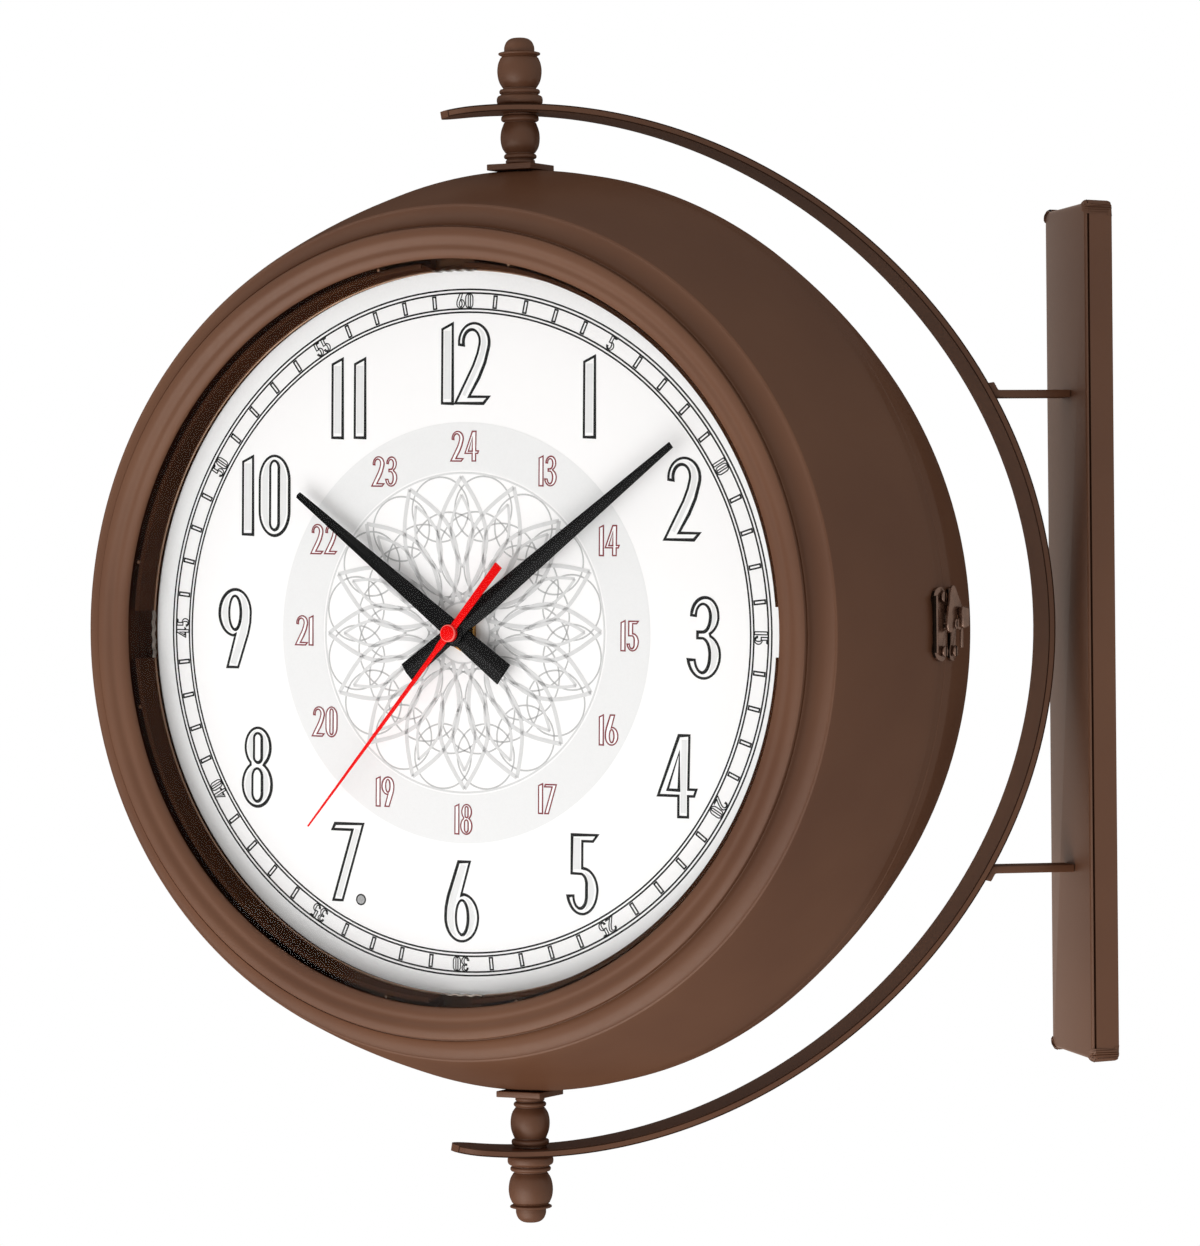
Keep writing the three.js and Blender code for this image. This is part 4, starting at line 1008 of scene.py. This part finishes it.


# Films over the enamel, from the enamel out: name, layer, lift over the enamel in mm, and ink; the edge
# band's film is painted light, not ink.
INK_FILM = 0.03
for name, layer, lift, film in (
    ("grey_hour_ring", ring_layer, 0.02, even_film("light_grey_screen_ink", ("#e9e9e9", "#ededed"), 0.5)),
    ("hour_figure_stripes", stripe_layer, 0.02, even_film("pale_stripe_ink", ("#e4e4e4", "#e9e9e9"), 0.5)),
    ("edge_band", painted_light_layer, 0.02, even_film("edge_band_painted_light", ("#f8f8f8", "#fefefe"), 0.5)),
    ("light_sensor", sensor_layer, 0.02, even_film("grey_sensor_window", ("#9a9a9a", "#b4b4b4"), 0.4)),
    ("rosette_fine_lines", thin_layer, 0.02, even_film("rosette_fine_grey_ink", ("#b9b9b9", "#c4c4c4"), 0.5)),
    ("rosette_petals", thick_layer, 0.06, even_film("rosette_grey_ink", ("#d6d6d6", "#dcdcdc"), 0.5)),
    ("hour_figures_24", red_layer, 0.1, even_film("brown_red_screen_ink", ("#7a3138", "#86383f"), 0.5)),
    ("hour_figures_and_track", black_layer, 0.06, even_film("black_screen_ink", ("#101010", "#181818"), 0.5)),
    ("hour_figures_24_white", bodies_24, 0.06, even_film("white_screen_ink", ("#f6f6f6", "#fafafa"), 0.5)),
):
    for side, place, body in SIDES:
        mesh = bpy.data.meshes.new(f"{name}_{side}")
        corners, edges, faces = [], [], []
        if layer is bodies_24:
            for path in (path for loops in layer for path in loops):
                first, count = len(corners), len(path)
                corners += path
                edges += [(first + i, first + (i + 1) % count) for i in range(count)]
        else:
            corners, faces = layer
        mesh.from_pydata([Vector((x, -(DIAL_OFFSET + lift), y)) * MM for x, y in corners], edges, faces)
        print_film = bpy.data.objects.new(f"{name}_{side}", mesh)
        scene.collection.objects.link(print_film)
        only(print_film)
        if layer is bodies_24:
            with edit_mode():
                bpy.ops.mesh.fill(use_beauty=False)
        for facet in mesh.polygons:
            if facet.normal.y > 0:
                facet.flip()
        mesh.update()
        thicken(print_film, INK_FILM, 1)
        mesh.materials.append(film)
        set_in_place(print_film, place, body, [])

# ------------------------------------------------------------------ hands
# Stamped aluminium hands, folded along the middle and painted black; the seconds hand is flat,
# painted red, and its cap is pressed on the movement's pin.
hand_black = surface_finish(
    "black_hand_paint", ("#040404", "#090909"), 40, 1.2, 0.004, 0.36, 0.0, 0.007, "#ffffff"
)
hand_red = surface_finish(
    "red_hand_paint", ("#e60000", "#f00202"), 40, 1.2, 0.004, 0.3, 0.0, 0.006, "#ffffff"
)
# Painted highlight: a lighter red on the cap's turned rim, where the red catches the lamps.
cap_rim_highlight = surface_finish("red_cap_rim_painted_highlight", ("#ff5a50", "#ff6a60"), 10, 1.2, 0.002, 0.3, 0.0, 0.05, "#ffffff")
HAND_OFFSET = DIAL_OFFSET + 5.4
HAND_STEP = 3
HAND_SHEET = 0.8
SECOND_ANGLE = -139.5
SECOND_CORNERS = ((-1.85, -36.5), (1.85, -36.5), (-0.45, 105.7), (0.45, 105.7))
NECK_START, NECK_END, NECK_SHARE = 7.5, 10, 0.72
CAP_RADIUS, CAP_RISE = 3.6, 1.1
low = HAND_OFFSET + 2 * HAND_STEP
top = low + HAND_SHEET + CAP_RISE
cap_outline = [
    (0.9, low - 0.2), (CAP_RADIUS, low - 0.2), (CAP_RADIUS, top - 0.5), (CAP_RADIUS - 0.15, top - 0.2),
    (CAP_RADIUS - 0.5, top), (0, top), (0, low + 0.9), (0.9, low + 0.9),
]


def on_cap_rim(facet):
    outer = math.hypot(facet.center.x, facet.center.z) > (CAP_RADIUS - 0.45) * MM
    return outer and -facet.center.y / MM > top - 0.7


for side, place, body in SIDES:
    for hand in ("hour", "minute"):
        copied(
            f"{side}_{hand}_hand", f"folded_{hand}_hand_{side}", hand_black, 0.12, f"{side}_{hand}",
            25,
        )
    bpy.ops.mesh.primitive_plane_add(size=1)
    second = bpy.context.object
    for vertex, (x, z) in zip(second.data.vertices, SECOND_CORNERS):
        vertex.co = Vector((x, -low, z)) * MM
    with edit_mode():
        for height in (NECK_START, NECK_END):
            bpy.ops.mesh.bisect(plane_co=(0, 0, height * MM), plane_no=(0, 0, 1))
            bpy.ops.mesh.select_all(action="SELECT")
        bpy.ops.mesh.extrude_region_move(TRANSFORM_OT_translate={"value": (0, -HAND_SHEET * MM, 0)})
        face_out()
    for vertex in second.data.vertices:
        if vertex.co.z > 9 * MM:
            vertex.co.x *= NECK_SHARE
    soften(second, 0.15)
    finished(second, f"seconds_hand_{side}", hand_red)
    turned = place @ Matrix.Rotation(math.radians(SECOND_ANGLE), 4, "Y")
    cap = finished(spun_piece(cap_outline, 64, "Y"), f"seconds_cap_{side}", hand_red)
    repaint(cap, cap_rim_highlight, on_cap_rim)
    for piece in (second, cap):
        set_in_place(piece, turned, f"{side}_second", [f"{side}_second_hand"])

# ------------------------------------------------------------------ movements and dial supports
# One battery movement for each side: a black ABS box with a bay for one cell, a threaded brass
# post through the dial, and a nylon setting knob. A galvanised ring carries the dial.
# Moulded ABS: a fine matt spark texture that keeps the black dull.
black_abs = surface_finish(
    "moulded_black_abs", ("#171719", "#202023"), 30, 0.7, 0.02, 0.5, 0.0, 0.03, "#ffffff"
)
# Natural nylon: milky and waxy.
nylon = surface_finish("white_nylon", ("#dad6ca", "#e6e2d8"), 20, 1.0, 0.005, 0.45, 0.0, 0.04, "#ffffff")
# Machined brass: warm yellow, bright on the flats.
brass = surface_finish("machined_brass", ("#a8793a", "#bd8c49"), 12, 0.9, 0.004, 0.28, 1.0)
# Printed plastic sleeve round the cell: dark.
sleeve = surface_finish("cell_sleeve", ("#2b2b2e", "#343438"), 20, 1.0, 0.002, 0.3, 0.0, 0.06, "#ffffff")
for side, _, body in SIDES:
    for node, name, material, edge, slot, angle in (
        ("dial_support", "dial_support", galvanised, 0.3, "plain_steel", 30),
        ("movement", "movement_box", black_abs, 0.5, "black_plastic", 30),
        ("movement_nut", "movement_nut", brass, 0.3, "brass", 30),
        ("battery", "cell", sleeve, 0.4, "cell_sleeve", 40),
    ):
        copied(f"{side}_{node}", f"{name}_{side}", material, edge, body, angle)
    copied(f"{side}_set_knob", f"setting_knob_{side}", nylon, 0.35, f"{side}_knob", 40)
for end in ("top", "bottom"):
    given(f"pivot_bush_{end}", nylon)
    for node, name, edge, angle in (
        ("pivot_doubler", "rim_doubler", 0.4, 30),
        ("spindle", "pivot_rod", 0.3, 40),
        ("spindle_nut", "pivot_nut", 0.4, 30),
    ):
        copied(f"{node}_{end}", f"{name}_{end}", zinc, edge, "head", angle)

# ------------------------------------------------------------------ hinge
# A painted butt hinge on the rim away from the latch, riveted to both halves.
copied("hinge_leaf_front", "door_hinge_leaf", case_paint, 0.25, "door", 35)
copied("hinge_leaf_rear", "case_hinge_leaf", case_paint, 0.25, "head", 35)
copied("hinge_pin", "hinge_pin_headed", zinc, 0.25, "head", 35)

# ------------------------------------------------------------------ hook latch
# Pressed steel in an antique bronze plate: two lobed plates with two slotted screws each, and the
# three-cornered hook that swings on its rivet.
antique = surface_finish(
    "antique_bronze_plate", ("#291812", "#5f4335"), 3.5, 1.2, 0.05, 0.26, 0.0, 0.2, "#c8a896"
)
# Black painted shade on the plates' front-facing rims, where a shadow gap shows, and in the screws' slots:
# nearly no shine.
painted_shade_black = surface_finish("black_painted_shade", ("#0e0906", "#1a110c"), 3, 1.0, 0.01, 0.5, 0.0, 0.01)
LATCH_MIDDLE = 2.2
HOOK_UNDERSIDE, HOOK_SHEET = 196.2, 1.6
THUMB_RISE = 3.2
HOOK_OUTLINE = (
    (-0.6, 15.6), (0.6, 15.4), (2.2, 13.8), (8.3, 6.6), (8.3, 5.4), (7.4, 4.4), (2.8, 3.4), (0.9, 0.4),
    (-0.9, -1.9), (-2.2, -3.2), (-3.8, -3.5), (-5.4, -2.7), (-6.1, -1.0), (-5.8, 1.6), (-4.6, 6.4),
    (-2.8, 11.6), (-1.6, 14.6),
)
SLOT_WIDTH, SLOT_DEPTH, SLOT_LENGTH = 0.9, 0.6, 8
to_head = HEAD.inverted()
keep_plate = copied("latch_plate_front", "latch_keep_plate", antique, 0.3, "door", 35)
base_plate = copied("latch_plate_rear", "latch_base_plate", antique, 0.3, "head", 35)
# Painted shade: the plates' faces that look to the front take the black.
for plate in (keep_plate, base_plate):
    repaint(plate, painted_shade_black, lambda facet: (to_head.to_3x3() @ facet.normal).y < -0.75)

bpy.ops.mesh.primitive_circle_add(vertices=len(HOOK_OUTLINE), radius=0.01, fill_type="NGON")
hook = bpy.context.object
for vertex, (y, z) in zip(hook.data.vertices, HOOK_OUTLINE):
    vertex.co = Vector((HOOK_UNDERSIDE, y, z + LATCH_MIDDLE)) * MM
with edit_mode():
    bpy.ops.mesh.extrude_region_move(TRANSFORM_OT_translate={"value": (HOOK_SHEET * MM, 0, 0)})
    face_out()
soften(hook, 0.35, 3, 50)
# The thumb piece, the pin that hangs from it, and the loop at the hook's rivet.
hook_top = HOOK_UNDERSIDE + HOOK_SHEET
thumb = block((THUMB_RISE + 0.4, 5.2, 8.6), (hook_top + THUMB_RISE / 2 - 0.2, 5.6, LATCH_MIDDLE + 2.6))
soften(thumb, 1.3, 5)
pin = rod(0.75, 9, (hook_top + 0.3, 5.8, LATCH_MIDDLE - 5.2), 20)
soften(pin, 0.4, 3, 40)
bpy.ops.mesh.primitive_torus_add(
    major_radius=1.7 * MM, minor_radius=0.55 * MM, major_segments=32, minor_segments=12,
    location=((hook_top + 0.3) * MM, 1.6 * MM, LATCH_MIDDLE * MM), rotation=(0, math.pi / 2, 0),
)
for piece, name in (
    (hook, "latch_swing_hook"), (thumb, "latch_thumb_piece"), (pin, "latch_hanging_pin"),
    (bpy.context.object, "latch_rivet_loop"),
):
    finished(piece, name, antique)
    set_in_place(piece, HEAD, "hook", ["latch_hook"])
for side, body, across in (("front", "door", -5.4), ("rear", "head", 4.8)):
    for level, height in zip(("upper", "lower"), LATCH_SCREWS):
        node = f"latch_screw_{side}_{level}"
        screw = copied(node, f"latch_slotted_screw_{side}_{level}", antique, 0.25, body, 35)
        crown = max((to_head @ vertex.co).x for vertex in screw.data.vertices)
        slot = block((2 * SLOT_DEPTH, SLOT_WIDTH, SLOT_LENGTH), (crown / MM, across, height))
        slot.data.transform(HEAD)
        cut_away(screw, slot)
        # Painted shade: the slot's faces take the black.
        slot_half = SLOT_WIDTH / 2 + 0.01
        repaint(screw, painted_shade_black, lambda facet: abs((to_head @ facet.center / MM).y - across) < slot_half)
